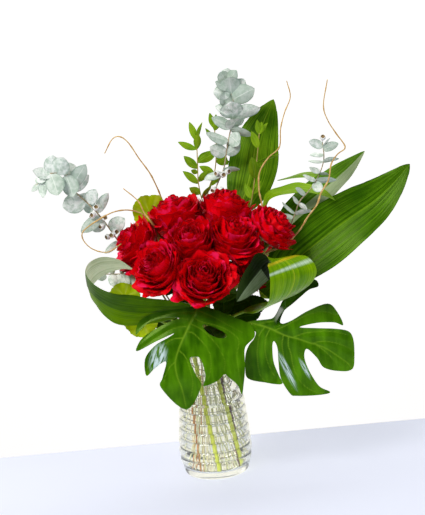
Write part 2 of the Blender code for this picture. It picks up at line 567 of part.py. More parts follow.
def monstera_left_bend(x, z):
    """It hangs forward from its stalk and then straight down, with its sides drawn back."""
    drop = 272 - z
    return Vector((x, -66 - 0.52 * drop + 0.0023 * drop**2 + 0.0012 * (x + 20)**2, z))


def monstera_right_bend(x, z):
    """It hangs nearly flat, and its top right lobe steps back to pass behind the looped leaf."""
    top_lobe = eased((z - 236 - 0.45 * (x - 109)) / 4)
    back = 60 * top_lobe * eased((x - 97) / 26)
    return Vector((x, -68 + back - 0.05 * (x - 63) + 0.0006 * (x - 63)**2, z))


def lime_leaf(spec, lime):
    right, up = Vector(spec.right).normalized(), Vector(spec.up).normalized()
    out = right.cross(up).normalized()
    outline = []
    for i in range(LIME_SCALLOPS * 4):
        a = 2 * math.pi * i / (LIME_SCALLOPS * 4)
        radius = spec.radius * (0.94 + 0.06 * abs(math.cos(LIME_SCALLOPS * a / 2)))
        outline.append((radius * math.cos(a), radius * math.sin(a)))

    def place(x, z):
        return Vector(spec.centre) + right * x + up * z + out * 0.006 * (x * x + z * z)

    sheet_leaf(spec, [outline], place, lime)


def sprig(spec, leaf_material):
    """A stem, its leaves and its seed pods, grown in one piece."""
    foot, neck, above = in_vase(spec.ring, spec.angle, spec.stem_radius)
    path = smooth_path([neck, above, *map(Vector, spec.path)], SPRIG_RINGS)
    last = SPRIG_RINGS - 1
    radii = [spec.stem_radius] + [lerp(spec.stem_radius, 0.8, i / last) for i in range(SPRIG_RINGS)]
    stem = finished(spec.name, loft(tube_rings([foot, *path], radii, SPRIG_SIDES)), leaf_material)
    bodies = [leaf_on(path, Leaf(*row)) for row in spec.leaves]
    for at, heading, lean in spec.pods:
        bodies.append(seed_pod(along(path, at), pointing(heading, lean)))
    joined(stem, bodies, leaf_material)


def twig(spec, bark):
    foot, neck, above = in_vase(spec.ring, spec.angle, spec.radius)
    path = [foot, *smooth_path([neck, above, *map(Vector, spec.path)], TWIG_RINGS)]
    radii = [spec.radius] + [lerp(spec.radius, TWIG_TIP, i / (TWIG_RINGS - 1)) for i in range(TWIG_RINGS)]
    finished(spec.name, loft(tube_rings(path, radii, TWIG_SIDES)), bark)


def main():
    for obj in list(bpy.data.objects):
        bpy.data.objects.remove(obj)
    glass = material("glass", (0.93, 0.96, 0.95), 0.03, transmission=1.0)
    petal = material("rose_petal", (0.62, 0.01, 0.02), 0.55)
    stalk = material("rose_stem", (0.25, 0.42, 0.08), 0.5)
    green = material("leaf_green", (0.07, 0.26, 0.02), 0.35)
    silver = material("eucalyptus", (0.42, 0.55, 0.50), 0.6)
    bright = material("ruscus", (0.22, 0.48, 0.05), 0.4)
    lime = material("lime_leaf", (0.45, 0.66, 0.04), 0.45)
    bark = material("willow_bark", (0.52, 0.32, 0.12), 0.6)
    vase(glass)
    for spec in ROSES:
        rose(spec, petal, stalk)
    for spec in BLADES:
        blade(spec, green)
    sheet_leaf(MONSTERA_LEFT, [MONSTERA_LEFT_OUTLINE, MONSTERA_LEFT_HOLE], monstera_left_bend, green)
    sheet_leaf(MONSTERA_RIGHT, [MONSTERA_RIGHT_OUTLINE], monstera_right_bend, green)
    for spec in LIME_LEAVES:
        lime_leaf(spec, lime)
    for spec in SPRIGS:
        sprig(spec, silver if spec.name.startswith("eucalyptus") else bright)
    for spec in TWIGS:
        twig(spec, bark)


main()
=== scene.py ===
"""The detailed look of a bouquet of roses in a ribbed glass vase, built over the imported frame.

Lengths in the tables are in mm, in the row frame: +Z up, the front towards -Y, the origin under the vase.
"""

import math
from collections import namedtuple

import bpy
import numpy as np
from mathutils import Matrix, Vector
from mathutils.bvhtree import BVHTree
from mathutils.geometry import delaunay_2d_cdt


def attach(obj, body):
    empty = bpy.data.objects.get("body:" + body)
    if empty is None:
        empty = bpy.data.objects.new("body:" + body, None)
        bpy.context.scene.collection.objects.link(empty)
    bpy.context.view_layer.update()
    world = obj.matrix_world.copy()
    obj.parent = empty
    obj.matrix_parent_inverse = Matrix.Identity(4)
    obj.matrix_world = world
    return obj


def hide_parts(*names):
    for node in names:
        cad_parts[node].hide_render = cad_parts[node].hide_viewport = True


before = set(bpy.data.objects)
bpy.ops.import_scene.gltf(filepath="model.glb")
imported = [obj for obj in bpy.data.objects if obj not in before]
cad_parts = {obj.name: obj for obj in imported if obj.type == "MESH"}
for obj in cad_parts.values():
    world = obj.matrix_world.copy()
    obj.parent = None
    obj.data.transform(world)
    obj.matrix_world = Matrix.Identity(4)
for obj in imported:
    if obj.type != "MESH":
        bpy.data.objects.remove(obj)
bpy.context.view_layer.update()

MM = 0.001
GAP = 0.3  # under a stem, between a stem and its bloom, and between two blooms
OUTER, MIDDLE, INNER = 0, 1, 2  # the rings that the stems stand in
NECK_RINGS = (29.0, 20.5, 12.5)  # their radii at the neck
FLOOR_RINGS = (37.0, 27.0, 16.5)  # and on the vase's floor
TWIST = 50.0  # degrees that they turn between the two
NECK_HEIGHT = 185.0
FLOOR_TOP = 9.0
STRAIGHT_ABOVE_NECK = 16.0
WIDENS_OVER = 20.0  # the height above the neck over which a stem gets back its full thickness

# ---------------------------------------------------------------- tables

Rose = namedtuple("Rose", "name centre faces radius spread ring angle")  # spread: how far its petals open
ROSES = (
    Rose("rose_01", (4, -85, 322), (0.05, -0.80, 0.60), 37, 1.12, OUTER, -76),
    Rose("rose_02", (-63, -62, 338), (-0.50, -0.66, 0.56), 34, 1.18, OUTER, -134),
    Rose("rose_03", (-12, -42, 366), (-0.12, -0.62, 0.78), 29, 1.50, MIDDLE, -96),
    Rose("rose_04", (52, -36, 370), (0.30, -0.55, 0.78), 30, 1.46, MIDDLE, -48),
    Rose("rose_05", (116, -4, 373), (0.72, -0.20, 0.67), 31, 1.26, OUTER, 0),
    Rose("rose_06", (44, 16, 405), (0.20, -0.10, 0.97), 34, 1.30, INNER, -10),
    Rose("rose_07", (-33, 16, 402), (-0.26, -0.10, 0.96), 34, 1.34, MIDDLE, 172),
    Rose("rose_08", (-99, 6, 362), (-0.80, -0.22, 0.56), 34, 1.22, OUTER, -176),
    Rose("rose_09", (76, -23, 311), (0.62, -0.55, 0.56), 21, 1.25, OUTER, -14),
    Rose("rose_10", (-66, 80, 352), (-0.50, 0.66, 0.56), 36, 1.15, OUTER, 128),
    Rose("rose_11", (-7, 109, 392), (0.0, 0.50, 0.86), 26, 1.00, OUTER, 84),
    Rose("rose_12", (86, 98, 348), (0.55, 0.66, 0.51), 36, 1.15, OUTER, 46),
)
ROSE_STEM = 2.7
BASE_BEHIND = 0.72  # from a bloom's centre back to the top of its stem, in its radii
BLOOM_SIDE = (0.3, 0.2, 1.0)
PETALS = 38
GOLDEN = math.radians(137.508)  # the turn from each petal to the next
PETAL_NET, BACK_PETAL_NET = (26, 12), (17, 10)  # points across and along; the blooms at the back are coarser
PETAL_THICKNESS = 0.35
NEIGHBOURS_WITHIN = 110  # blooms further apart than this don't press on each other
PRESSED_OVER = 4.5  # the depth over which pressed petals flatten
LEAF_LOOKAHEAD, LEAF_CLEARANCE = 2.0, 1.2  # where petals meet a broad leaf
STEM_POINTS = (28, 9)  # how far below a bloom its stem runs straight
ROSE_LEAVES = {  # each row is a Leaf, as below
    "rose_01": ((0.78, 100, 10, 0, 52, 30), (0.78, -100, 4, 0, 46, 26), (0.84, -78, 22, 10, 50, 26),
                (0.86, 70, -20, 10, 52, 30), (0.44, 140, 60, -50, 50, 32)),
    "rose_02": ((0.80, -150, 25, 10, 30, 22), (0.72, 95, 30, 20, 34, 20)),
    "rose_03": ((0.66, 60, 20, 0, 44, 30), (0.66, -70, 20, 0, 44, 30)),
    "rose_04": ((0.70, 112, 50, 0, 40, 28), (0.76, 150, 40, 0, 40, 26), (0.44, 80, 0, -25, 51, 33),
                (0.60, 180, 20, 0, 51, 33)),
    "rose_05": ((0.40, 80, 0, -25, 51, 33),),
    "rose_08": ((0.48, -140, 20, 25, 51, 33),),
    "rose_09": ((0.44, 80, 20, -25, 51, 33),),
}

Blade = namedtuple("Blade", "name ring angle stalk blade across width fold pleats ripple")
# stalk and blade: points along the middle; across: the way its width lies, from its base to its tip
BLADES = (
    Blade("aspidistra_tall", MIDDLE, 62,
          ((20, 38, 250), (40, 62, 330)),
          ((62, 78, 382), (77, 82, 415), (90, 85, 452), (98, 87, 484), (111, 88, 516), (131, 87, 555)),
          ((1, -0.2, -0.1), (0.9, -0.3, -0.4)), 78, 0.16, 9, 1.2),
    Blade("aspidistra_upper", OUTER, 29,
          ((42, 32, 236), (84, 56, 304)),
          ((118, 63, 347), (142, 67, 370), (168, 71, 390), (194, 74, 408), (216, 76, 424), (240, 78, 442),
           (266, 80, 465)),
          ((-0.45, 0.5, 0.6), (-0.5, 0.62, 0.55)), 50, 0.22, 9, 1.2),
    Blade("aspidistra_broad", OUTER, 14,
          ((42, 11, 214), (66, 16, 238)),
          ((88, 22, 260), (121, 29, 289), (150, 32, 315), (180, 32, 336), (216, 32, 360), (244, 32, 377),
           (270, 33, 393), (298, 34, 416), (326, 34, 444)),
          ((-0.62, 0.36, 0.70), (-0.62, 0.30, 0.72)), 92, 0.16, 9, 2.4),
    Blade("aspidistra_loop_left", OUTER, -115,
          ((-14, -38, 232), (-12, -49, 256)),
          ((-16, -54, 267), (-34, -56, 269), (-60, -59, 268), (-92, -68, 271), (-126, -77, 281),
           (-152, -73, 298), (-166, -56, 315), (-162, -38, 328), (-145, -26, 336), (-120, -20, 335),
           (-98, -22, 326)),
          ((-0.1, -0.55, 0.8), (0, -0.6, 0.8)), 63, 0.05, 9, 1.2),
    Blade("aspidistra_loop_right", OUTER, -56,
          ((18, -37, 226), (36, -36, 244)),
          ((58, -33, 252), (79, -35, 256), (99, -44, 261), (116, -54, 270), (128, -63, 285), (134, -68, 307),
           (127, -62, 325), (113, -53, 332), (96, -50, 327), (80, -56, 313), (63, -67, 296), (48, -76, 278)),
          ((0.4, 0.9, 0.15), (0.6, 0.8, 0.04), (0.74, 0.67, 0.0), (0.74, 0.67, -0.1), (0.64, 0.72, -0.2),
           (0.68, 0.62, -0.2)),
          96, 0.02, 9, 1.2),
    Blade("arching_leaf_upper", MIDDLE, 34,
          ((34, 28, 270), (98, 44, 320), (140, 55, 340)),
          ((176, 76, 360), (202, 92, 387), (213, 98, 410), (203, 98, 430), (173, 95, 435), (129, 91, 429)),
          ((0.1, 0.9, 0.3), (0.2, 0.9, 0.3)), 26, 0.12, 3, 0.5),
    Blade("arching_leaf_lower", INNER, 42,
          ((22, 24, 270), (72, 42, 350)),
          ((98, 40, 385), (111, 42, 410), (134, 42, 417), (160, 36, 420), (189, 27, 413), (209, 16, 400)),
          ((-0.2, 0.95, 0.2), (-0.1, 0.8, 0.6)), 28, 0.12, 3, 0.5),
)
STALK_RADIUS = 2.2
FLATTENS_OVER = 0.22  # share of a blade over which its stalk turns flat
BLADE_RINGS, BLADE_COLUMNS = 96, 40
BLADE_HALF_THICKNESS = 0.3
PLEAT_DEPTH = 0.35

Leaf = namedtuple("Leaf", "at heading lean roll length width")
# at: share of the stem; heading: degrees from straight up, to the right in a view from the front;
# lean: degrees toward the front; roll: degrees its flat side turns away from the front
Sprig = namedtuple("Sprig", "name ring angle path leaves stem_radius pods")
SPRIGS = (
    Sprig("eucalyptus_left", OUTER, 170,
          ((-48, 10, 250), (-84, 40, 310), (-116, 42, 349), (-131, 25, 379), (-145, 6, 407), (-163, -8, 433),
           (-176, -12, 449), (-182, -16, 470), (-201, -20, 480), (-217, -22, 469), (-230, -22, 461)),
          ((0.92, 4, 15, 0, 29, 23), (0.90, 26, 30, 0, 32, 26), (0.92, -74, 20, 20, 30, 17),
           (0.95, -107, 20, 30, 18, 12), (0.98, -134, 10, 30, 18, 9), (0.97, 179, 20, 0, 26, 12),
           (0.93, 162, 30, 0, 36, 26), (0.87, 167, 10, 0, 33, 25), (0.82, 37, 15, 15, 40, 21),
           (0.80, 45, -10, 20, 31, 16), (0.75, -100, 20, 0, 34, 28), (0.73, 32, 20, 0, 27, 19),
           (0.68, 34, 20, 20, 38, 15), (0.66, -124, 25, 10, 38, 18), (0.64, -137, 10, 0, 22, 20),
           (0.59, 58, 20, 0, 31, 22), (0.52, -125, 20, 30, 29, 12), (0.53, 61, -30, 50, 26, 12),
           (0.88, 60, -40, 0, 26, 24), (0.90, -150, -35, 0, 26, 22), (0.78, 150, -35, 0, 26, 22),
           (0.70, -60, -40, 0, 24, 18)),
          1.7,
          ((0.69, 20, 55), (0.68, -100, 60), (0.67, -90, 35), (0.65, 70, 60), (0.62, -110, 55),
           (0.57, 75, 55), (0.555, -60, 75), (0.56, -105, 40))),
    Sprig("eucalyptus_top", INNER, 100,
          ((0, 36, 300), (18, 50, 380), (29, 54, 424), (41, 58, 442), (48, 60, 464), (52, 58, 482),
           (60, 54, 513), (67, 50, 531), (68, 46, 558), (63, 42, 580), (57, 40, 592)),
          ((0.99, -28, 25, 10, 18, 17), (0.99, 12, 10, 0, 20, 19), (0.98, 38, 30, -20, 28, 17),
           (0.965, -61, 24, 30, 24, 15), (0.95, -88, 20, 10, 27, 23), (0.94, -4, 35, 0, 31, 31),
           (0.93, 37, 10, 0, 32, 25), (0.92, 66, 20, 10, 38, 28), (0.91, -56, 30, 0, 26, 22),
           (0.91, -129, 50, 0, 18, 20), (0.88, -73, 15, 30, 30, 18), (0.85, -3, 40, 0, 34, 34),
           (0.86, 76, 15, 20, 42, 23), (0.82, -59, 10, 35, 33, 20), (0.81, 35, 30, 30, 24, 26),
           (0.81, 107, 10, 40, 34, 18), (0.79, 138, 35, 10, 24, 23), (0.77, -66, 20, 45, 38, 18),
           (0.72, -60, 15, 0, 28, 20), (0.72, 60, 20, 0, 27, 16), (0.65, -105, 20, 50, 30, 16),
           (0.66, 88, 20, 55, 27, 14), (0.58, 113, -8, 30, 33, 15), (0.95, 30, -40, 0, 26, 26),
           (0.90, -30, -45, 0, 28, 26), (0.84, 60, -40, 0, 28, 24), (0.77, 120, -40, 0, 26, 22)),
          1.7,
          ((0.655, -95, 40), (0.64, 60, 70), (0.655, 85, 45), (0.60, -130, 50), (0.595, 115, 45))),
    Sprig("eucalyptus_right", MIDDLE, 4,
          ((44, 14, 250), (88, 26, 322), (116, 28, 343), (136, 27, 361), (147, 19, 384), (154, 10, 403),
           (165, 7, 413), (178, 8, 430), (187, 10, 443), (192, 11, 452), (195, 12, 468), (194, 12, 489)),
          ((0.98, -62, 15, 0, 24, 13), (0.97, 70, 20, 0, 25, 13), (0.98, 42, 10, 60, 17, 9),
           (0.95, -88, 10, 65, 21, 11), (0.92, 81, 15, 50, 24, 12), (0.92, -83, 0, 65, 22, 10),
           (0.88, -66, 20, 50, 19, 12), (0.87, 100, 10, 50, 14, 10), (0.84, -64, 20, 50, 23, 12),
           (0.84, 92, 10, 40, 30, 13), (0.83, 150, 50, 0, 22, 15), (0.77, -53, 20, 50, 20, 11),
           (0.72, -38, 20, 45, 16, 9), (0.72, 125, 20, 40, 15, 9), (0.67, -43, -10, 60, 26, 10),
           (0.67, 81, 20, 50, 28, 11), (0.65, -70, -25, 45, 18, 10)),
          1.3, ((1.0, 0, 50),)),
    Sprig("eucalyptus_low", OUTER, -154,
          ((-36, -20, 240), (-60, -14, 290), (-92, 2, 314), (-124, 6, 316), (-148, 4, 318)),
          ((0.98, -120, 20, 0, 14, 13), (0.94, 170, 25, 0, 20, 14), (0.89, -165, 20, 20, 20, 15),
           (0.86, 160, 30, 0, 22, 16), (0.82, 178, 10, 0, 24, 14), (0.77, -175, 25, 0, 21, 13),
           (0.93, 10, 20, 40, 12, 9), (0.86, 0, 10, 40, 12, 9), (0.68, 175, 25, 0, 24, 14)),
          1.4, ((0.70, 110, 60),)),
    Sprig("ruscus_left", MIDDLE, 118,
          ((-12, 36, 280), (0, 60, 360), (12, 62, 400), (6, 60, 425), (6, 58, 452), (7, 56, 475),
           (8, 52, 506)),
          ((0.99, -16, 15, 0, 30, 11), (0.99, 21, 10, 40, 28, 9), (0.95, 8, 30, 0, 27, 12),
           (0.95, -63, 15, 20, 30, 11), (0.86, -42, 15, 10, 28, 13), (0.79, -46, 15, 10, 30, 12),
           (0.84, -59, 40, 0, 14, 8), (0.74, -54, 20, 0, 20, 13), (0.90, 60, -30, 0, 24, 10),
           (0.80, 50, -30, 20, 24, 11), (0.72, 40, 10, 40, 24, 11)),
          1.3, ()),
    Sprig("ruscus_middle", INNER, 150,
          ((-8, 26, 290), (2, 62, 360), (20, 104, 420), (31, 107, 445), (36, 107, 470), (38, 106, 500),
           (36, 105, 524)),
          ((0.98, -12, 10, 0, 24, 10), (0.97, 9, 25, 0, 27, 10), (0.97, 34, 0, 40, 18, 9),
           (0.88, -115, 0, 0, 32, 17), (0.87, 135, -10, 0, 24, 16), (0.92, -32, 15, 20, 27, 9),
           (0.91, 61, -20, 20, 18, 9), (0.79, -61, 10, 0, 24, 12), (0.73, 50, -20, 10, 28, 11),
           (0.84, 100, -30, 0, 24, 12)),
          1.3, ()),
    Sprig("ruscus_right", MIDDLE, 92,
          ((10, 40, 280), (50, 54, 360), (80, 53, 394), (90, 50, 431), (96, 47, 462), (100, 44, 487),
           (104, 44, 513)),
          ((0.98, -5, 20, 10, 22, 10), (0.98, 16, 10, 0, 18, 10), (0.92, -17, 20, 0, 28, 12),
           (0.79, -6, 35, 0, 40, 17), (0.98, 41, 0, 20, 20, 7), (0.86, 75, 10, 50, 34, 9),
           (0.81, 50, 0, 50, 24, 9), (0.70, -20, -20, 0, 24, 12), (0.72, 40, -20, 0, 24, 11)),
          1.3, ()),
)
SPRIG_TIP, TWIG_TIP = 0.8, 0.75  # radii
SPRIG_RINGS = 16  # points along a sprig that its leaves' places are measured on
POD_RIBS_ABOVE = 7
POD_PROFILE = (  # height, radius
    (0.0, 0.7), (3.6, 0.7), (5.4, 1.5), (7.2, 3.0), (10.0, 4.4), (12.6, 4.3), (14.2, 3.8), (14.3, 3.0),
    (13.0, 2.4), (12.4, 0.2),
)

Twig = namedtuple("Twig", "name ring angle path radius")
TWIGS = (
    Twig("willow_arch", INNER, 200,
         ((-14, 14, 280), (-10, 34, 335), (-46, 66, 400), (-58, 58, 436), (-67, 50, 460), (-81, 44, 484),
          (-94, 40, 508), (-106, 37, 519), (-118, 35, 516), (-131, 34, 496)), 1.9),
    Twig("willow_hook", MIDDLE, 204,
         ((-32, 2, 260), (-54, 14, 340), (-67, 10, 389), (-90, 2, 409), (-116, -16, 414), (-142, -34, 406),
          (-168, -36, 388), (-160, -30, 366), (-136, -28, 356), (-114, -24, 366)), 1.5),
    Twig("willow_upright", INNER, 78,
         ((14, 30, 290), (58, 44, 350), (96, 25, 388), (96, 27, 424), (99, 31, 450), (114, 38, 470),
          (132, 44, 484), (136, 46, 512), (144, 48, 536), (154, 50, 558), (150, 50, 582)), 2.0),
    Twig("willow_tall", MIDDLE, -18,
         ((50, 8, 280), (96, 14, 326), (124, 18, 336), (150, 12, 358), (164, -2, 381), (178, -12, 400),
          (185, -12, 417), (197, -12, 435), (203, -8, 458), (214, -2, 471), (226, 2, 480), (214, 6, 501),
          (203, 6, 521), (198, 6, 543), (206, 6, 580)), 1.9),
    Twig("willow_fine", MIDDLE, -118,
         ((-26, -12, 270), (-50, -8, 330), (-66, 0, 385), (-78, 4, 406), (-86, 8, 424), (-106, 8, 444)),
         1.4),
)
KNOTS = 14  # on each twig
# stems look thinner in the vase than they are, so that the glass stays as clear as in the photo
LEAF_SLIM, SPRIG_SLIM, TWIG_SLIM = 0.28, 0.45, 0.34

SheetLeaf = namedtuple("SheetLeaf", "name ring angle petiole grip")
MONSTERA_LEFT = SheetLeaf("monstera_left", OUTER, -97, ((-4, -34, 222), (-6, -48, 252)), (-8, 265))
MONSTERA_LEFT_OUTLINE = (  # x, z; lobes in turn from the stalk, down the right side and up the left
    (-7, 273), (10, 269), (40, 255), (63, 243), (70, 233), (69, 223), (55, 211), (53, 193), (52, 178),
    (49, 160), (45, 143), (40, 158), (28, 171), (22, 176), (10, 167), (-9, 162), (-5, 176), (-9, 198),
    (-15, 205), (-26, 202), (-19, 180), (-13, 161), (-37, 128), (-70, 163), (-67, 178), (-60, 201),
    (-77, 192), (-90, 182), (-90, 206), (-74, 224), (-54, 234), (-46, 239), (-73, 229), (-101, 217),
    (-97, 229), (-87, 238), (-72, 246), (-50, 255), (-35, 259), (-55, 261), (-77, 257), (-90, 249),
    (-101, 240), (-96, 256), (-79, 266), (-54, 270), (-27, 272),
)
MONSTERA_LEFT_HOLE = ((-4, 247), (8, 245), (26, 235), (29, 228), (17, 228), (3, 236))
MONSTERA_LEFT_VEINS = (  # the first is the midrib
    ((-7, 273), (-12, 265), (-21, 252), (-28, 240), (-36, 226), (-44, 209), (-47, 197), (-46, 180),
     (-40, 158), (-37, 134)),
    ((-10, 267), (4, 261), (19, 253), (36, 242), (52, 232)),
    ((-16, 258), (-4, 251), (10, 247), (30, 238), (46, 222), (42, 200), (44, 170), (45, 150)),
    ((-22, 251), (-8, 243), (4, 232), (16, 216), (24, 196), (22, 180)),
    ((-28, 240), (-19, 238), (-10, 229), (-2, 219), (4, 205), (3, 185), (-3, 168)),
    ((-41, 216), (-32, 206), (-27, 190), (-24, 168), (-28, 148)),
    ((-12, 265), (-37, 267), (-60, 264), (-80, 258), (-96, 248)),
    ((-24, 257), (-37, 258), (-51, 256), (-64, 250), (-80, 241), (-96, 228)),
    ((-28, 247), (-44, 246), (-60, 240), (-76, 232), (-94, 222)),
    ((-33, 232), (-48, 231), (-62, 224), (-76, 210), (-88, 192)),
    ((-46, 200), (-54, 194), (-61, 184), (-66, 170)),
)
MONSTERA_RIGHT = SheetLeaf("monstera_right", OUTER, -38, ((30, -28, 216), (46, -48, 232)), (68, 241))
MONSTERA_RIGHT_OUTLINE = (  # x, z; lobes in turn from the stalk, over the top and back along the bottom
    (55, 240), (64, 245), (81, 246), (97, 247), (110, 254), (121, 263), (131, 272), (143, 280),
    (156, 286), (170, 286), (173, 276), (159, 272), (145, 262), (129, 250), (109, 238), (124, 241),
    (150, 254), (179, 262), (192, 249), (200, 228), (187, 233), (162, 235), (136, 231), (161, 227),
    (190, 223), (208, 217), (214, 203), (214, 179), (210, 160), (191, 159), (168, 167), (159, 182),
    (146, 197), (141, 193), (141, 180), (148, 160), (160, 139), (175, 129), (161, 126), (126, 128),
    (116, 132), (104, 156), (102, 182), (102, 202), (98, 213), (95, 207), (95, 183), (101, 162),
    (105, 148), (80, 152), (56, 160), (53, 176), (55, 196), (61, 210), (69, 219), (72, 229), (63, 234),
)
MONSTERA_RIGHT_VEINS = (
    ((55, 241), (64, 243), (77, 239), (92, 233), (104, 226), (117, 219), (134, 213), (149, 206), (158, 203),
     (173, 195), (188, 183), (203, 170), (209, 162)),
    ((76, 239), (88, 242), (104, 243), (120, 248), (138, 262), (160, 282)),
    ((99, 229), (114, 234), (128, 240), (150, 248), (172, 250), (192, 243)),
    ((124, 216), (143, 221), (162, 222), (186, 219), (206, 212)),
    ((151, 205), (172, 206), (192, 200), (210, 190)),
    ((86, 235), (79, 227), (76, 220), (74, 209), (72, 196), (72, 180), (74, 164), (80, 154)),
    ((93, 232), (86, 218), (84, 200), (87, 180), (96, 158)),
    ((119, 217), (118, 205), (121, 192), (123, 174), (128, 158), (138, 142), (153, 131), (168, 128)),
    ((112, 221), (109, 208), (110, 190), (112, 165), (119, 138)),
    ((160, 201), (172, 190), (182, 178), (190, 164)),
)
MONSTERA_NET = 1.6  # spacing of its points
MONSTERA_THICKNESS = 0.7
MONSTERA_SEEDS = 3, 4

LimeLeaf = namedtuple("LimeLeaf", "name ring angle petiole grip centre right up radius")
LIME_LEAVES = (
    LimeLeaf("lime_leaf_upper", MIDDLE, 146, ((-22, 20, 260), (-52, 44, 345), (-60, 48, 362)), (0, -20),
             (-72, 50, 398), (0.9, 0.35, 0.1), (-0.2, 0.3, 0.93), 29),
    LimeLeaf("lime_leaf_middle", MIDDLE, -172, ((-36, -14, 230), (-64, -20, 258), (-84, -22, 274)), (0, -16),
             (-116, -26, 288), (0.3, -0.25, 0.9), (-0.93, 0.0, 0.3), 24),
    LimeLeaf("lime_leaf_lower", OUTER, -165, ((-30, -10, 214), (-44, -18, 230), (-58, -28, 242)), (0, -22),
             (-93, -35, 252), (0.1, 0.25, 0.96), (-0.98, 0.1, 0.05), 26),
)
LIME_SCALLOPS = 7
LIME_DISH = 0.006  # how fast it rises from its middle
PETIOLE_RADIUS = 2.0

# the vase: height, outer radius without ribs
BODY = ((8, 52), (35, 55), (60, 54), (110, 49.5), (140, 44.5), (165, 39.5), (185, 37))
VASE_HEIGHT = 200.0
FOOT_RADIUS = 46.0
GLASS_WALL = 3.5
INSIDE_FROM, INSIDE_TO = 18, 190  # the heights between which the wall has that thickness
VASE_SIDES, WATER_SIDES = 128, 96
RIB_COUNT = 11
RIBS_FROM, RIBS_TO = 14.0, 176.0
RIB_PITCH = (RIBS_TO - RIBS_FROM) / RIB_COUNT
RIB_HIGH, RIB_LOW = 1.2, -1.0
RIB_STEPS = 14
WATER_LEVEL = 112.0
WATER_GAP = 0.15
# radius past the foot's, height
FOOT_RING = ((-8, 0.9), (-5, 0.0), (0, 0.0), (2.4, 0.9), (3.6, 3.0))
FLOOR_CORNER = ((1.0, 14.5), (-1.0, 11.4), (-3.0, 9.8), (-6.0, 9.0))
WATER_CORNER = ((-6.0, 9.15), (-3.2, 10.0), (-1.2, 11.6), (0.8, 14.6))
# radius, height
LIP = ((37.1, 180), (36.4, 184), (36.5, 188), (37.4, 192), (39.2, 196), (40.0, 198), (39.7, 199.4),
       (38.8, VASE_HEIGHT), (37.6, 199.9), (36.8, 199.0), (36.2, 196.5))
# inward from the glass, below the water's level
MENISCUS = ((0.8, 0.7), (2.5, 1.1), (8, 1.2))

BLOOM_SEEDS, STEM_SEEDS, BLADE_SEEDS, LIME_SEEDS, SPRIG_SEEDS, TWIG_SEEDS = 100, 200, 11, 5, 20, 40

CAMERA_PLACE = (0.01819, -1.57210, 0.60818)  # in metres
CAMERA_LENS = 74.56
ELEVATION, ROLL = math.radians(10), math.radians(4.5)


# ---------------------------------------------------------------- curves

def unit(v):
    v = np.asarray(v, float)
    return v / np.maximum(np.linalg.norm(v, axis=-1, keepdims=True), 1e-9)


def ease(t):
    t = np.clip(t, 0.0, 1.0)
    return t * t * (3 - 2 * t)


def lerp(a, b, t):
    return a + (b - a) * t


def oval(share, skew, blunt):
    """Width of a leaf along it, from 0 to 1: skew moves its widest place, blunt rounds its ends."""
    return np.sin(math.pi * share**skew)**blunt


def circle(count):
    return np.arange(count) / count * 2 * math.pi


def polar(radius, degrees, height):
    angle = math.radians(degrees)
    return np.array((radius * math.cos(angle), radius * math.sin(angle), height))


def square_to(way, hint):
    """Two directions square to a third and to each other."""
    side = unit(np.cross(way, hint))
    return side, np.cross(way, side)


def offset(base, *moves):
    """Points moved from a base; each move is a direction and how far each point goes along it."""
    for way, far in moves:
        base = base + way * far[..., None]
    return base


def stack(*values):
    """Arrays and numbers, spread to one shape and put together as a last axis."""
    return np.stack(np.broadcast_arrays(*values), -1)


def lengths(line):
    return np.r_[0, np.cumsum(np.linalg.norm(np.diff(line, axis=0), axis=1))]


def smooth(points, steps=16, closed=False):
    """A Catmull-Rom curve through the given points."""
    p = np.asarray(points, float)
    before, after = (p[-1], p[:2]) if closed else (2 * p[0] - p[1], 2 * p[-1] - p[-2])
    p = np.vstack((before, p, after))
    t = (np.arange(steps) / steps)[:, None]
    fine = [0.5 * (2 * b + (c - a) * t + (2 * a - 5 * b + 4 * c - d) * t**2 + (3 * b - a - 3 * c + d) * t**3)
            for a, b, c, d in zip(p[:-3], p[1:-2], p[2:-1], p[3:])]
    return np.vstack(fine if closed else fine + [p[-2:-1]])


def curve(points, count):
    """Evenly spaced points on a smooth curve through the given ones."""
    fine = smooth(points)
    length = lengths(fine)
    at = np.linspace(0, length[-1], count)
    return np.stack([np.interp(at, length, column) for column in fine.T], 1)


def along(vectors, share):
    """The vectors at a share, or at each of many shares, of the way from the first to the last."""
    vectors = np.asarray(vectors, float)
    at = np.clip(share, 0, 1) * (len(vectors) - 1)
    k = np.minimum(at.astype(int), len(vectors) - 2)
    return vectors[k] + (vectors[k + 1] - vectors[k]) * (at - k)[..., None]


def tangents(path):
    ahead = np.vstack((path[1:], 2 * path[-1] - path[-2]))
    behind = np.vstack((2 * path[0] - path[1], path[:-1]))
    return unit(ahead - behind)


def sides_along(path):
    """Two directions across a path at each point, that don't twist along it."""
    ways = tangents(path)
    side = np.array((0.0, 0.0, 1.0) if abs(ways[0][2]) < 0.8 else (1.0, 0.0, 0.0))
    first, second = [], []
    for way in ways:
        side = unit(side - way * side.dot(way))
        first.append(side)
        second.append(np.cross(way, side))
    return np.array(first), np.array(second)


def in_vase(ring, angle, radius):
    """Where a stem stands and where it runs out of the neck: foot, neck, and a point straight on above it."""
    foot = polar(FLOOR_RINGS[ring], angle + TWIST, FLOOR_TOP)
    neck = polar(NECK_RINGS[ring], angle, NECK_HEIGHT)
    way = unit(neck - foot)
    foot[2] += GAP + radius * math.hypot(way[0], way[1])
    return [foot, neck, neck + way * STRAIGHT_ABOVE_NECK]


def up_to(foot, neck, count):
    """Points from a stem's foot to just below the neck."""
    return [lerp(foot, neck, i / count) for i in range(count)]


def slim(path, share):
    """Factors for a stem's radius along its path: a share inside the vase, and 1 above it."""
    return lerp(share, 1.0, ease((path[:, 2] - NECK_HEIGHT) / WIDENS_OVER))


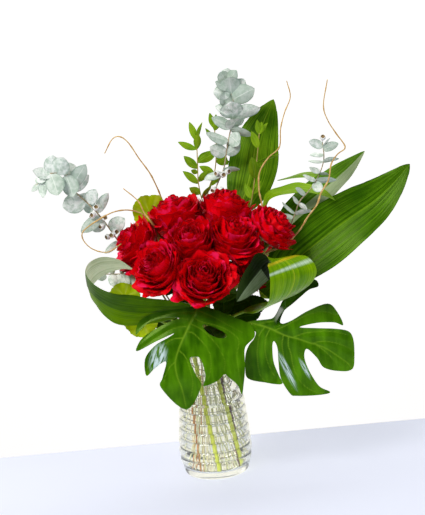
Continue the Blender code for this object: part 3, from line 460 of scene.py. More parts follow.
def grain(points, scale, seed):
    """Smooth noise from -1 to 1 at points in mm, the same in every run."""
    rng = np.random.default_rng(seed)
    total = 0.0
    for octave in range(3):
        waves = rng.normal(size=(6, points.shape[-1])) * (2**octave / scale)
        phase = rng.uniform(0, 2 * math.pi, 6)
        total = total + np.sin(points @ waves.T + phase).sum(-1) / 6 / 2**octave
    return total


# ---------------------------------------------------------------- meshes

def grid_faces(rows, columns, wrap=False):
    """Quads over a grid of rows by columns; wrap joins the last column to the first."""
    r = np.arange(rows - 1)[:, None]
    c = np.arange(columns if wrap else columns - 1)[None, :]
    a, b = r * columns + c, r * columns + (c + 1) % columns
    return np.stack((a, b, b + columns, a + columns), -1).reshape(-1, 4).tolist()


def leaf_net(columns, rows):
    """A net over a petal or leaf: from -1 to 1 across it, from 0 to 1 along it, and its faces."""
    u, v = np.meshgrid(np.linspace(-1, 1, columns), np.linspace(0, 1, rows))
    return u, v, grid_faces(rows, columns)


class Build:
    """Collects vertices, faces, material numbers and a four-value detail attribute."""

    def __init__(self):
        self.verts, self.faces, self.slots, self.detail, self.count = [], [], [], [], 0

    def add(self, verts, faces, detail, slot):
        """slot is one number or one per face."""
        self.verts.append(verts)
        self.detail.append(detail)
        self.faces += [[i + self.count for i in face] for face in faces]
        self.slots += [slot] * len(faces) if isinstance(slot, int) else slot
        self.count += len(verts)

    def thick(self, verts, faces, thickness, detail, front=0, back=0):
        """Adds a sheet with two sides and a rim."""
        verts, detail = verts.reshape(-1, 3), detail.reshape(-1, 4)
        normals, edges = np.zeros_like(verts), []
        for size in {len(f) for f in faces}:
            group = np.array([f for f in faces if len(f) == size])
            a, b, c, *d = (verts[group[:, k]] for k in range(size))
            face_normal = np.cross(c - a, d[0] - b) if d else np.cross(b - a, c - a)
            for k in range(size):
                np.add.at(normals, group[:, k], face_normal)
                edges.append(np.stack((group[:, k], group[:, (k + 1) % size]), 1))
        edges, n = np.vstack(edges), len(verts)
        _, first, counts = np.unique(np.sort(edges, 1) @ (n, 1), return_index=True, return_counts=True)
        rim = [[b, a, a + n, b + n] for a, b in edges[first[counts == 1]].tolist()]
        half = unit(normals) * (thickness / 2)
        self.add(np.vstack((verts + half, verts - half)),
                 [*faces, *([i + n for i in reversed(f)] for f in faces), *rim],
                 np.vstack((detail, detail)), [front] * len(faces) + [back] * len(faces) + [front] * len(rim))

    def rod(self, rings, ends, detail, slot=0):
        """Adds a closed rod of rings of points, with a point at each end that its end rings run to."""
        rows, columns = rings.shape[:2]
        last, n = (rows - 1) * columns, rows * columns
        faces = grid_faces(rows, columns, wrap=True)
        faces += [[(k + 1) % columns, k, n] for k in range(columns)]
        faces += [[last + k, last + (k + 1) % columns, n + 1] for k in range(columns)]
        detail = detail.reshape(-1, 4)
        self.add(np.vstack((rings.reshape(-1, 3), *ends)), faces,
                 np.vstack((detail, detail[0], detail[-1])), slot)

    def tube(self, path, radii, sides, seed, rough, slot=0):
        """Adds a round rod along a path; rough is how uneven it is."""
        one, two = (side[:, None] for side in sides_along(path))
        a = circle(sides)
        ring = one * np.cos(a)[:, None] + two * np.sin(a)[:, None]
        swell = 1 + rough * grain(path[:, None] + ring * radii[:, None, None], 5.0, seed)[..., None]
        self.rod(path[:, None] + ring * radii[:, None, None] * swell, (path[0], path[-1]),
                 stack(a / (2 * math.pi), np.linspace(0, 1, len(path))[:, None], 0, seed * 0.137 % 1), slot)


def piece(name, build, materials, slot, *stands_for):
    """Makes the object, hides the CAD parts that it stands for, and lets it ride on the one body."""
    mesh = bpy.data.meshes.new(name)
    mesh.from_pydata((np.vstack(build.verts) * MM).tolist(), [], build.faces)
    for item in materials:
        mesh.materials.append(item)
    mesh.polygons.foreach_set("material_index", np.array(build.slots, np.int32))
    attribute = mesh.attributes.new("detail", "FLOAT_COLOR", "POINT")
    attribute.data.foreach_set("color", np.vstack(build.detail).astype(np.float32).ravel())
    mesh.shade_smooth()
    mesh.set_sharp_from_angle(angle=math.radians(50))
    obj = bpy.data.objects.new(name, mesh)
    bpy.context.scene.collection.objects.link(obj)
    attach(obj, "root")
    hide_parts(*stands_for)


# ---------------------------------------------------------------- materials

class Value:
    """An output in a material's node tree; arithmetic with it adds math nodes."""

    def __init__(self, look, socket):
        self.look, self.socket = look, socket

    def output(self, key):
        """Another output of the same node."""
        return Value(self.look, self.socket.node.outputs[key])

    def math(self, operation, other=0.0, clamp=False):
        return self.look.node("ShaderNodeMath", {0: self, 1: other}, operation=operation, use_clamp=clamp)

    def __add__(self, other):
        return self.math("ADD", other)

    def __sub__(self, other):
        return self.math("SUBTRACT", other)

    def __mul__(self, other):
        return self.math("MULTIPLY", other)

    def __abs__(self):
        return self.math("ABSOLUTE")

    def ramp(self, low, high, to_low=0.0, to_high=1.0):
        """Goes smoothly from to_low to to_high while the value goes from low to high."""
        return self.look.node("ShaderNodeMapRange", {0: self, 1: low, 2: high, 3: to_low, 4: to_high},
                              interpolation_type="SMOOTHSTEP")


class Look:
    """A procedural material, built by short calls on its node tree."""

    def __init__(self, name):
        self.material = bpy.data.materials.new(name)
        self.material.use_nodes = True
        self.tree = self.material.node_tree
        self.shader = self.tree.nodes["Principled BSDF"]

    def put(self, socket, value):
        if isinstance(value, Value):
            self.tree.links.new(value.socket, socket)
        elif isinstance(value, tuple) and len(value) == 3 and len(socket.default_value) == 4:
            socket.default_value = (*value, 1.0)
        else:
            socket.default_value = value

    def node(self, kind, inputs=(), output=0, **settings):
        """Adds a node with its settings and inputs, and gives one of its outputs."""
        made = self.tree.nodes.new(kind)
        for key, value in settings.items():
            setattr(made, key, value)
        for key, value in dict(inputs).items():
            self.put(made.inputs[key], value)
        return Value(self, made.outputs[output])

    def set(self, **values):
        for key, value in values.items():
            self.put(self.shader.inputs[key.replace("_", " ")], value)

    def surface(self, shader):
        self.put(self.tree.nodes["Material Output"].inputs["Surface"], shader)

    def mix(self, factor, a, b):
        return self.node("ShaderNodeMix", {0: factor, 6: a, 7: b}, 2, data_type="RGBA")

    def noise(self, vector, scale, detail=2.0, roughness=0.5):
        return self.node("ShaderNodeTexNoise", {"Vector": vector, "Scale": scale, "Detail": detail,
                                                "Roughness": roughness}, "Fac")

    def vector(self, x, y, z):
        return self.node("ShaderNodeCombineXYZ", {0: x, 1: y, 2: z})

    def place(self):
        return self.node("ShaderNodeTexCoord", output="Object")

    def xyz(self, vector):
        parts = self.node("ShaderNodeSeparateXYZ", {0: vector})
        return parts, parts.output(1), parts.output(2)

    def detail(self):
        """The four values of the detail attribute."""
        colour = self.node("ShaderNodeAttribute", output="Color", attribute_name="detail")
        parts = self.node("ShaderNodeSeparateColor", {0: colour})
        return parts, parts.output(1), parts.output(2), colour.output("Alpha")

    def bump(self, height, strength, distance):
        return self.node("ShaderNodeBump", {"Height": height, "Strength": strength, "Distance": distance})

    def glow_through(self, share, colour):
        """Lets part of the light through a thin leaf or petal."""
        through = self.node("ShaderNodeBsdfTranslucent", {"Color": colour})
        self.surface(self.node("ShaderNodeMixShader", {0: share, 1: Value(self, self.shader.outputs[0]),
                                                       2: through}))


def petal_look():
    """Deep red at each petal's base as painted shade deep in the bloom, brighter towards the rim with
    patches of pink painted sheen, and a dark line along some rims.
    """
    look = Look("rose_petal")
    rim, edge, _, own = look.detail()
    streaks = look.noise(look.vector(edge * 22.0, rim * 2.5, own * 60.0), 1.0, 3.0)
    cloud = look.noise(look.place(), 60.0, 3.0)
    deep = look.mix(cloud, (0.30, 0.0, 0.0), (0.50, 0.0, 0.002))
    bright = look.mix(cloud, (0.72, 0.0, 0.002), (0.95, 0.0, 0.008))
    # painted shade: darker towards each petal's base, deep in the bloom
    shade = look.mix(rim.ramp(0.10, 0.72), deep, bright)
    shade = look.mix(streaks.ramp(0.45, 0.7) * 0.35, shade, deep)
    # painted highlight: pink sheen in patches near the rims
    pink = rim.ramp(0.55, 0.95) * cloud.ramp(0.48, 0.60) * own.ramp(0.3, 0.8, 0.0, 0.85)
    shade = look.mix(pink, shade, (1.0, 0.02, 0.15))
    line = rim.ramp(0.965, 0.99) * cloud.ramp(0.60, 0.45)
    shade = look.mix(line * 0.75, shade, (0.14, 0.0, 0.004))
    look.set(Base_Color=shade, Roughness=0.42, Specular_IOR_Level=0.34, Specular_Tint=(1.0, 0.14, 0.22),
             Normal=look.bump(streaks + cloud * 0.5, 0.4, 0.0009))
    look.glow_through(0.16, (1.0, 0.0, 0.004))
    return look.material


def leaf_look(name, deep, bright, vein, lines, roughness=0.3, through=0.15, bumpy=0.4, midrib=0.016,
              shine=0.3, gleam=(0.6, 0.9, 0.2), lit=(0.30, 0.55, 0.0), crease_and_highlight_bands=(), painted_highlights=(), glow=0.0,
              contrast=0.0, painted_shade_heights=None):
    """Green leaf, with veins that run along it; detail is across, along, vein, own. Each band is a
    streaky stripe over the leaf, used for painted highlight and for a crease's yellow streak: where along it,
    half its width and its colour. Each sheen is a pale patch of painted highlight: x, z, half its width and
    height and its turn, in metres and degrees. Where a pair of heights for painted shade is given, the leaf
    gets darker from the first to the second: painted shade. glow is the strength of a painted glow in the
    leaf's own colour."""
    look = Look(name)
    across, along, net, own = look.detail()
    place = look.place()
    fine = look.noise(look.vector(across * lines, along * 2.0, own * 40.0), 1.0, 2.0, 0.6)
    cloud = look.noise(place, 22.0, 4.0)
    shade = look.mix((fine * 0.55 + cloud * 0.6).ramp(0.35, 0.8), deep, bright)
    if contrast:
        thin = look.noise(look.vector(across * (lines * 2.4), along, own), 1.0, 2.0)
        dark = thin.ramp(0.52, 0.40).math("MAXIMUM", fine.ramp(0.50, 0.38))
        shade = look.mix(dark * contrast, shade, tuple(c * 0.6 for c in deep))
    rib = abs(across - 0.5).ramp(midrib * 0.4, midrib, 1.0, 0.0)
    veins = rib.math("MAXIMUM", net, clamp=True)
    shade = look.mix(veins * 0.75, shade, vein)
    # painted shade: the leaf gets darker between the two given heights
    if painted_shade_heights:
        patchy = look.xyz(place)[2] + (cloud - 0.5) * 0.03
        shade = look.mix(patchy.ramp(*painted_shade_heights, 0.0, 0.85), shade, (0.002, 0.018, 0.0))
    # streaky stripes across the leaf, used for painted highlight and for a crease's yellow streak
    for at, half, colour in crease_and_highlight_bands:
        near = abs(along - at).ramp(half, 0.0)
        shade = look.mix(near * fine.ramp(0.25, 0.6, 0.35, 0.95), shade, colour)
    # painted highlight: pale patches of gloss painted into the leaf's colour
    for x, z, wide, high, turn in painted_highlights:
        spot = look.node("ShaderNodeMapping", {"Vector": place, "Location": (x, 0.0, z),
                                               "Rotation": (0.0, math.radians(turn), 0.0),
                                               "Scale": (wide, 1.0, high)}, vector_type="TEXTURE")
        right, _, up = look.xyz(spot)
        far = (right.math("POWER", 2.0) + up.math("POWER", 2.0)).math("SQRT")
        streak = look.noise(look.vector(right * 3.2, 0.0, up), 1.6, 3.0)
        near = far.ramp(1.0, 0.35) * streak.ramp(0.42, 0.56)
        shade = look.mix(near * 0.85, shade, (0.66, 0.82, 0.86))
    # the emission is a painted glow, in the leaf's own colour
    look.set(Base_Color=shade, Roughness=fine.ramp(0.3, 0.7, roughness, roughness + 0.14),
             Specular_IOR_Level=shine, Specular_Tint=gleam, Emission_Color=shade, Emission_Strength=glow,
             Normal=look.bump(fine - veins * 0.8, bumpy, 0.0008))
    look.glow_through(through, look.mix(0.5, shade, lit))
    return look.material


def silver_look(name, deep, bright):
    """Eucalyptus: a waxy bloom, a pale midrib, a darker edge and slanting ribs."""
    look = Look(name)
    across, along, _, own = look.detail()
    bloom = look.noise(look.place(), 130.0, 4.0, 0.65)
    shade = look.mix(bloom.ramp(0.33, 0.66), deep, bright)
    shade = look.mix(own.ramp(0.35, 0.95, 0.0, 0.6), shade, (0.34, 0.46, 0.36))
    middle = abs(across - 0.5)
    shade = look.mix(middle.ramp(0.40, 0.49) * 0.7, shade, (0.30, 0.42, 0.33))
    shade = look.mix(middle.ramp(0.008, 0.03, 1.0, 0.0) * 0.6, shade, (0.92, 0.97, 0.90))
    ribs = (along * 34.0 + middle * -38.0).math("SINE").ramp(0.6, 1.0)
    look.set(Base_Color=shade, Roughness=0.55, Specular_IOR_Level=0.4, Sheen_Weight=0.15,
             Normal=look.bump(bloom * 0.4 + ribs * 0.5, 0.25, 0.0006))
    look.glow_through(0.12, shade)
    return look.material


def stem_look(name, deep, bright, wet=None, roughness=0.45):
    """Stem or stalk; wet is its colour inside the vase."""
    look = Look(name)
    across, along, _, own = look.detail()
    place = look.place()
    streaks = look.noise(look.vector(across * 14.0, along * 9.0, own * 30.0), 1.0, 4.0, 0.6)
    spots = look.noise(place, 180.0, 3.0)
    shade = look.mix((streaks * 0.6 + spots * 0.5).ramp(0.4, 0.72), deep, bright)
    if wet:
        under = look.mix(streaks, wet, tuple(c * 0.72 for c in wet))
        shade = look.mix(look.xyz(place)[2].ramp(0.17, 0.20), under, shade)
    look.set(Base_Color=shade, Roughness=roughness, Specular_IOR_Level=0.4,
             Normal=look.bump(streaks + spots * 0.5, 0.4, 0.0008))
    return look.material


def pod_look(name):
    """A pale waxy cup whose open end is dark brown with a light middle."""
    look = Look(name)
    spots = look.noise(look.place(), 240.0, 3.0)
    waxy = look.mix(spots, (0.74, 0.78, 0.74), (0.95, 0.95, 0.95))
    brown = look.mix(spots, (0.10, 0.055, 0.015), (0.36, 0.24, 0.08))
    look.set(Base_Color=look.mix(look.detail()[1].ramp(0.72, 0.80), waxy, brown), Roughness=0.6,
             Normal=look.bump(spots, 0.3, 0.0005))
    return look.material


def clear_look(name, tint, ior, wavy=0.0, rings=None):
    """Glass or water; its shadow lets light straight through, so that what is inside stays lit. rings
    are where the vase's ribs start, how far apart they are and the darker tint in the grooves between
    them, a painted shade."""
    look = Look(name)
    look.tree.nodes.remove(look.shader)
    inputs = {"Color": tint, "IOR": ior, "Roughness": 0.0}
    if rings:
        start, pitch, darker = rings
        # painted shade: a darker tint in each groove between the ribs
        swell = abs(((look.xyz(look.place())[2] - start) * (math.pi / pitch)).math("SINE"))
        inputs["Color"] = look.mix(swell.ramp(0.15, 0.55), darker, tint)
    if wavy:
        inputs["Normal"] = look.bump(look.noise(look.place(), 38.0, 2.0), wavy, 0.002)
    glass = look.node("ShaderNodeBsdfGlass", inputs)
    clear = look.node("ShaderNodeBsdfTransparent", {"Color": tint})
    shadow = look.node("ShaderNodeLightPath", output="Is Shadow Ray")
    look.surface(look.node("ShaderNodeMixShader", {0: shadow, 1: glass, 2: clear}))
    return look.material


PETAL = petal_look()
FRESH = (0.30, 0.42, 0.01), (0.66, 0.72, 0.07)
WOODY = (0.24, 0.30, 0.01), (0.50, 0.52, 0.06)
ROSE_GREEN = stem_look("rose_stem", *FRESH, wet=(0.74, 0.84, 0.10))
ROSE_BARK = stem_look("rose_stem_brown", *WOODY, wet=(0.13, 0.05, 0.025))
ROSE_TAN = stem_look("rose_stem_tan", *WOODY, wet=(0.52, 0.24, 0.06))
ROSE_LIGHT = stem_look("rose_stem_light", *FRESH, wet=(0.86, 0.88, 0.62))
CALYX = stem_look("rose_calyx", (0.03, 0.11, 0.002), (0.12, 0.26, 0.01))
PETIOLE = stem_look("petiole", (0.16, 0.34, 0.005), (0.42, 0.60, 0.04), wet=(0.80, 0.84, 0.52))
RUSCUS_STEM = stem_look("ruscus_stem", (0.30, 0.24, 0.04), (0.60, 0.46, 0.14), wet=(0.62, 0.30, 0.08))
SPRIG_STEM = stem_look("sprig_stem", (0.24, 0.20, 0.10), (0.55, 0.44, 0.28), (0.80, 0.74, 0.56), 0.6)
BARK = stem_look("willow_bark", (0.44, 0.24, 0.05), (0.80, 0.56, 0.22), (0.88, 0.84, 0.64), 0.5)
POD = pod_look("seed_pod")
ROSE_LEAF = leaf_look("rose_leaf", (0.008, 0.03, 0.0), (0.035, 0.10, 0.001), (0.12, 0.22, 0.01), 12.0)
ASPIDISTRA = leaf_look("aspidistra_top", (0.024, 0.105, 0.0), (0.125, 0.31, 0.004), (0.20, 0.36, 0.01),
                       46.0, contrast=0.7, midrib=0.010)
# its sheen is a painted highlight along one edge
ASPIDISTRA_TALL = leaf_look("aspidistra_tall", (0.030, 0.135, 0.0), (0.23, 0.45, 0.010), (0.36, 0.56, 0.03),
                            46.0, contrast=0.6, painted_highlights=((0.030, 0.500, 0.010, 0.060, 8),))
ASPIDISTRA_BACK = leaf_look("aspidistra_back", (0.10, 0.20, 0.02), (0.26, 0.38, 0.08), (0.36, 0.48, 0.14),
                            46.0, roughness=0.42)
ASPIDISTRA_PALE = leaf_look("aspidistra_pale", (0.16, 0.24, 0.09), (0.36, 0.45, 0.24), (0.40, 0.50, 0.26),
                            46.0, roughness=0.34, gleam=(0.85, 0.95, 0.9), midrib=0.0001)
# the first band is a painted highlight just under the roll's top; the second, a yellow streak, is a crease's
# colour with painted highlight on it
LOOP_BRIGHT = leaf_look("loop_bright", (0.10, 0.30, 0.0), (0.34, 0.60, 0.0), (0.52, 0.68, 0.02), 60.0,
                        roughness=0.24, bumpy=0.5, shine=0.16, gleam=(0.6, 0.95, 0.25), contrast=0.25,
                        crease_and_highlight_bands=((0.515, 0.020, (0.72, 0.92, 0.72)), (0.585, 0.022, (0.80, 0.62, 0.02))))
# near black: painted shade on the inside of the looped leaf
LOOP_PAINTED_INSIDE_SHADE = leaf_look("loop_back", (0.004, 0.012, 0.001), (0.03, 0.06, 0.012), (0.002, 0.006, 0.001), 34.0,
                      roughness=0.45, midrib=0.05, through=0.05)
# the pale underside inside the loop, with a painted glow
LOOP_STRIPED = leaf_look("loop_striped", (0.06, 0.11, 0.03), (0.40, 0.50, 0.30), (0.02, 0.05, 0.004), 26.0,
                         roughness=0.45, midrib=0.04, through=0.1, glow=0.10)
# LOOP_LEFT and the lighter copy after it are one green, as painted shade and painted light on the two halves
# of the loop's front
LOOP_LEFT = leaf_look("loop_left", (0.016, 0.062, 0.0), (0.085, 0.20, 0.0), (0.02, 0.07, 0.0), 30.0,
                      shine=0.12)
LOOP_LEFT_PAINTED_LIT = leaf_look("loop_left_painted_lit", (0.06, 0.16, 0.0), (0.17, 0.31, 0.0), (0.02, 0.07, 0.0), 30.0,
                            shine=0.04)
# the pale underside, brightened as painted light, with a painted glow
LOOP_LEFT_BACK = leaf_look("loop_left_back", (0.40, 0.50, 0.28), (0.86, 0.94, 0.76), (0.84, 0.92, 0.74),
                           30.0, roughness=0.42, gleam=(0.9, 0.95, 0.9), lit=(0.9, 1.0, 0.8), glow=0.22)
STRIP = leaf_look("arching_top", (0.09, 0.24, 0.0), (0.28, 0.47, 0.005), (0.4, 0.6, 0.04), 18.0)
# darker higher up, as painted shade under the roses, with three patches of painted highlight
MONSTERA = leaf_look("monstera_top", (0.010, 0.065, 0.0), (0.095, 0.28, 0.002), (0.24, 0.43, 0.02), 10.0,
                     roughness=0.16, midrib=0.0001, through=0.10, bumpy=0.25, painted_shade_heights=(0.225, 0.275),
                     painted_highlights=((-0.071, 0.206, 0.015, 0.028, 20), (0.114, 0.168, 0.006, 0.040, -22),
                             (0.140, 0.168, 0.004, 0.022, -24)))
MONSTERA_BACK = leaf_look("monstera_back", (0.10, 0.25, 0.04), (0.20, 0.38, 0.10), (0.34, 0.50, 0.16), 10.0,
                          roughness=0.4, midrib=0.0001)
LIME = leaf_look("lime_leaf", (0.34, 0.50, 0.0), (0.58, 0.70, 0.005), (0.72, 0.80, 0.12), 16.0, roughness=0.4,
                 through=0.3, midrib=0.0001)
RUSCUS = leaf_look("ruscus_leaf", (0.10, 0.27, 0.004), (0.41, 0.65, 0.02), (0.46, 0.66, 0.10), 20.0,
                   roughness=0.38, through=0.22, midrib=0.02)
SILVER = silver_look("eucalyptus_top", (0.50, 0.63, 0.52), (0.96, 1.0, 0.95))
SILVER_BACK = silver_look("eucalyptus_back", (0.56, 0.68, 0.58), (0.94, 1.0, 0.97))
# the vase's glass, with painted shade in the grooves between its ribs
GLASS = clear_look("vase_glass", (0.985, 0.985, 0.95), 1.46, 0.06,
                   (RIBS_FROM * MM, RIB_PITCH * MM, (0.87, 0.88, 0.87)))
WATER = clear_look("water", (0.99, 0.99, 0.975), 1.33)


# ---------------------------------------------------------------- roses

def petal_profile(v, t, rng):
    """Distance from the axis and height, in bloom radii, along a petal of layer t: 0 inside, 1 outside."""
    belly = 0.12 + 0.72 * t**1.1
    top = 0.05 + 1.08 * t**1.45 + rng.uniform(-0.06, 0.06) * min(1.0, 3 * t)
    high = (1.24 - 0.46 * t**1.8 + rng.uniform(-0.09, 0.07) * min(1.0, 0.3 + 2 * t)
            - 0.22 * ease((t - 0.78) / 0.2))
    ends = np.array(((0.06 + 0.05 * t, 0.02), (belly * 1.25, 0.02 + 0.10 * (1 - t)),
                     (belly * 1.08 + 0.02, high * 0.62), (top, high)))
    w = np.stack(((1 - v)**3, 3 * v * (1 - v)**2, 3 * v**2 * (1 - v), v**3), -1)
    at = w @ ends
    curl = ease((v - 0.70) / 0.30)**1.4 * rng.uniform(0.3, 1.7)
    return at[..., 0] + curl * (0.015 + 0.10 * t), at[..., 1] - curl * (0.02 + 0.13 * t**1.3)


def rose_petals(spec, seed):
    rng = np.random.default_rng(seed)
    way = unit(spec.faces)
    size = spec.radius * spec.spread
    base = np.array(spec.centre, float) - way * (spec.radius * BASE_BEHIND + (size - spec.radius) * 0.55)
    side, other = square_to(way, BLOOM_SIDE)
    build = Build()
    u, v, faces = leaf_net(*(BACK_PETAL_NET if spec.faces[1] > 0.3 else PETAL_NET))
    start = rng.uniform(0, 2 * math.pi)

    def wave(low, high):
        """A sine across the petal, of a random pitch and phase."""
        return np.sin(u * rng.uniform(low, high) + rng.uniform(0, 6))

    for k in range(PETALS):
        t = (k / (PETALS - 1))**0.85
        turn = start + k * GOLDEN + rng.uniform(-0.4, 0.4)
        lobes = np.abs(wave(1.6, 3.0))**0.7
        frill = (0.04 * wave(2, 4) + 0.06 * (1 - lobes) + 0.012 * np.abs(wave(12, 18))
                 + 0.035 * np.exp(-((u - rng.uniform(-0.6, 0.6)) / 0.09)**2))
        reach = v * (1 - 0.20 * np.abs(u)**2.6 * (0.5 + 0.5 * t) - frill * (0.35 + 0.65 * t))
        out, up = petal_profile(np.clip(reach, 0, 1.08), t, rng)
        wide = lerp(1.8, 0.92, t**0.6) * rng.uniform(0.85, 1.2)
        angle = turn + wide * (0.30 + 0.70 * ease(v / 0.65)) * u
        ruffle = 0.6 * wave(3.5, 6) + 0.5 * wave(8, 13) + 0.18 * wave(18, 26) * v**4
        amount = (0.022 + 0.105 * t) * v**2.6
        lean = rng.uniform(-0.5, 1.0)
        out = out + lean * u * 0.05 * (0.5 + t) + 0.07 * t * np.abs(u)**3 * v**2 + amount * ruffle
        up = up + amount * ruffle * (0.5 + 0.7 * t) + rng.uniform(-0.06, 0.06) * u * v * t
        outward = offset(0, (side, np.cos(angle)), (other, np.sin(angle)))
        build.thick(offset(base, (way, up * size), (outward, out * size)), faces, PETAL_THICKNESS,
                    stack(v, (u + 1) / 2, t, rng.uniform()))
    return build


def press(build, spec, leaves):
    """Keeps a bloom on its own side of its neighbours and in front of or behind the broad leaves."""
    verts = np.vstack(build.verts)
    centre = np.array(spec.centre, float)
    for other in ROSES:
        between = np.array(other.centre, float) - centre
        far = np.linalg.norm(between)
        if other is spec or far > NEIGHBOURS_WITHIN:
            continue
        toward = between / far
        wall = (far**2 + spec.radius**2 - other.radius**2) / (2 * far) - GAP
        free = wall - PRESSED_OVER
        at = (verts - centre) @ toward
        over = at > free
        pressed = free + PRESSED_OVER * np.tanh((at[over] - wall + PRESSED_OVER) / PRESSED_OVER)
        verts[over] += toward * (pressed - at[over])[:, None]
    for i, point in enumerate(verts):
        ray = point - centre
        long = np.linalg.norm(ray)
        if long < spec.radius * 0.8:
            continue
        hit = leaves.ray_cast(Vector(centre), Vector(ray / long), long + LEAF_LOOKAHEAD)
        if hit[0] is not None:
            verts[i] = centre + ray / long * min(long, hit[3] - LEAF_CLEARANCE)
    build.verts = [verts]


def leaf_walls():
    """One tree of the CAD solids of every broad leaf, in mm."""
    verts, faces, count = [], [], 0
    for name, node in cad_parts.items():
        if not name.startswith(("aspidistra", "monstera", "lime")):
            continue
        co = np.zeros(len(node.data.vertices) * 3)
        node.data.vertices.foreach_get("co", co)
        verts.append(co.reshape(-1, 3) / MM)
        faces += [[i + count for i in p.vertices] for p in node.data.polygons]
        count += len(node.data.vertices)
    return BVHTree.FromPolygons(np.vstack(verts).tolist(), faces)


def rose_stem(spec, seed, stout):
    """Stem, receptacle, five sepals and leaves; stout is the share of its radius that it has in the vase."""
    way = unit(spec.faces)
    top = np.array(spec.centre, float) - way * spec.radius * BASE_BEHIND - way * GAP
    foot, neck, above = in_vase(spec.ring, spec.angle, ROSE_STEM)
    upper = [above, *(top - way * below for below in STEM_POINTS)]
    path = curve([foot, lerp(foot, neck, 0.5), neck, *upper, top], 70)
    share = np.linspace(0, 1, len(path))
    radii = ROSE_STEM * (0.93 + 0.9 * ease((share - 0.965) / 0.035))
    rng = np.random.default_rng(seed)
    for at in rng.uniform(0.08, 0.9, 5):
        radii = radii * (1 + 0.10 * np.exp(-((share - at) / 0.012)**2))
    build = Build()
    build.tube(path, radii * slim(path, stout), 12, seed, 0.03)
    side, other = square_to(way, BLOOM_SIDE)
    u, v, faces = leaf_net(5, 10)
    wide = 4.6 * oval(np.clip(v * 0.93 + 0.07, 0, 1), 1, 0.8) * (1 - 0.4 * v)
    for k in range(5):
        angle = k * 2 * math.pi / 5 + rng.uniform(-0.2, 0.2)
        out = side * math.cos(angle) + other * math.sin(angle)
        sepal = offset(top - way * 1.2, (out, 4.0 + spec.radius * 0.55 * v - 3 * v * v),
                       (-way, 1.5 + 7.0 * v**1.6), (np.cross(way, out), u * wide),
                       (way, 0.9 * np.abs(u) * wide / 4))
        build.thick(sepal, faces, 0.5, stack((u + 1) / 2, v, 0, 0.3), 1, 1)
    carrier = np.vstack((foot, curve([neck, *upper], 7), top))
    for row in ROSE_LEAVES.get(spec.name, ()):
        rose_leaf(build, carrier, Leaf(*row), rng)
    return build


def pointing(heading, lean):
    """A direction: degrees from straight up toward +X, and degrees out toward the front."""
    turn, out = math.radians(heading), math.radians(lean)
    return np.array((math.sin(turn) * math.cos(out), -math.sin(out), math.cos(turn) * math.cos(out)))


def leaf_place(path, leaf):
    """Where a leaf's base is on a stem, and the ways that its length, its width and its front point."""
    way = pointing(leaf.heading, leaf.lean)
    across = unit(np.cross(way, (0, -1, 0)))
    roll = math.radians(leaf.roll)
    across = across * math.cos(roll) + np.cross(way, across) * math.sin(roll)
    return along(path, leaf.at), way, across, unit(np.cross(way, across))


def rose_leaf(build, path, leaf, rng):
    """A pointed leaf with a saw-toothed edge, on a short stalk."""
    base, way, across, normal = leaf_place(path, leaf)
    u, v, faces = leaf_net(15, 40)
    teeth = 1 + 0.05 * np.sin(v * 84) * np.abs(u)**6
    shape = oval(np.clip((v - 0.10) / 0.90, 0, 1), 0.85, 0.75) * teeth + 0.03
    arch = 0.10 * leaf.length * (v - v**2) - 0.10 * leaf.width * np.abs(u * shape)
    points = offset(base, (way, leaf.length * v), (across, leaf.width / 2 * u * shape),
                    (normal, arch + 0.5 * np.sin(v * 26 + 3 * np.abs(u)) * np.abs(u)))
    veins = np.exp(-(np.sin(v * 26 - np.abs(u) * 5) / 0.25)**2) * 0.4 * (np.abs(u) > 0.05)
    build.thick(points, faces, 0.5, stack((u + 1) / 2, v, veins, rng.uniform()), 2, 2)


# ---------------------------------------------------------------- leaves

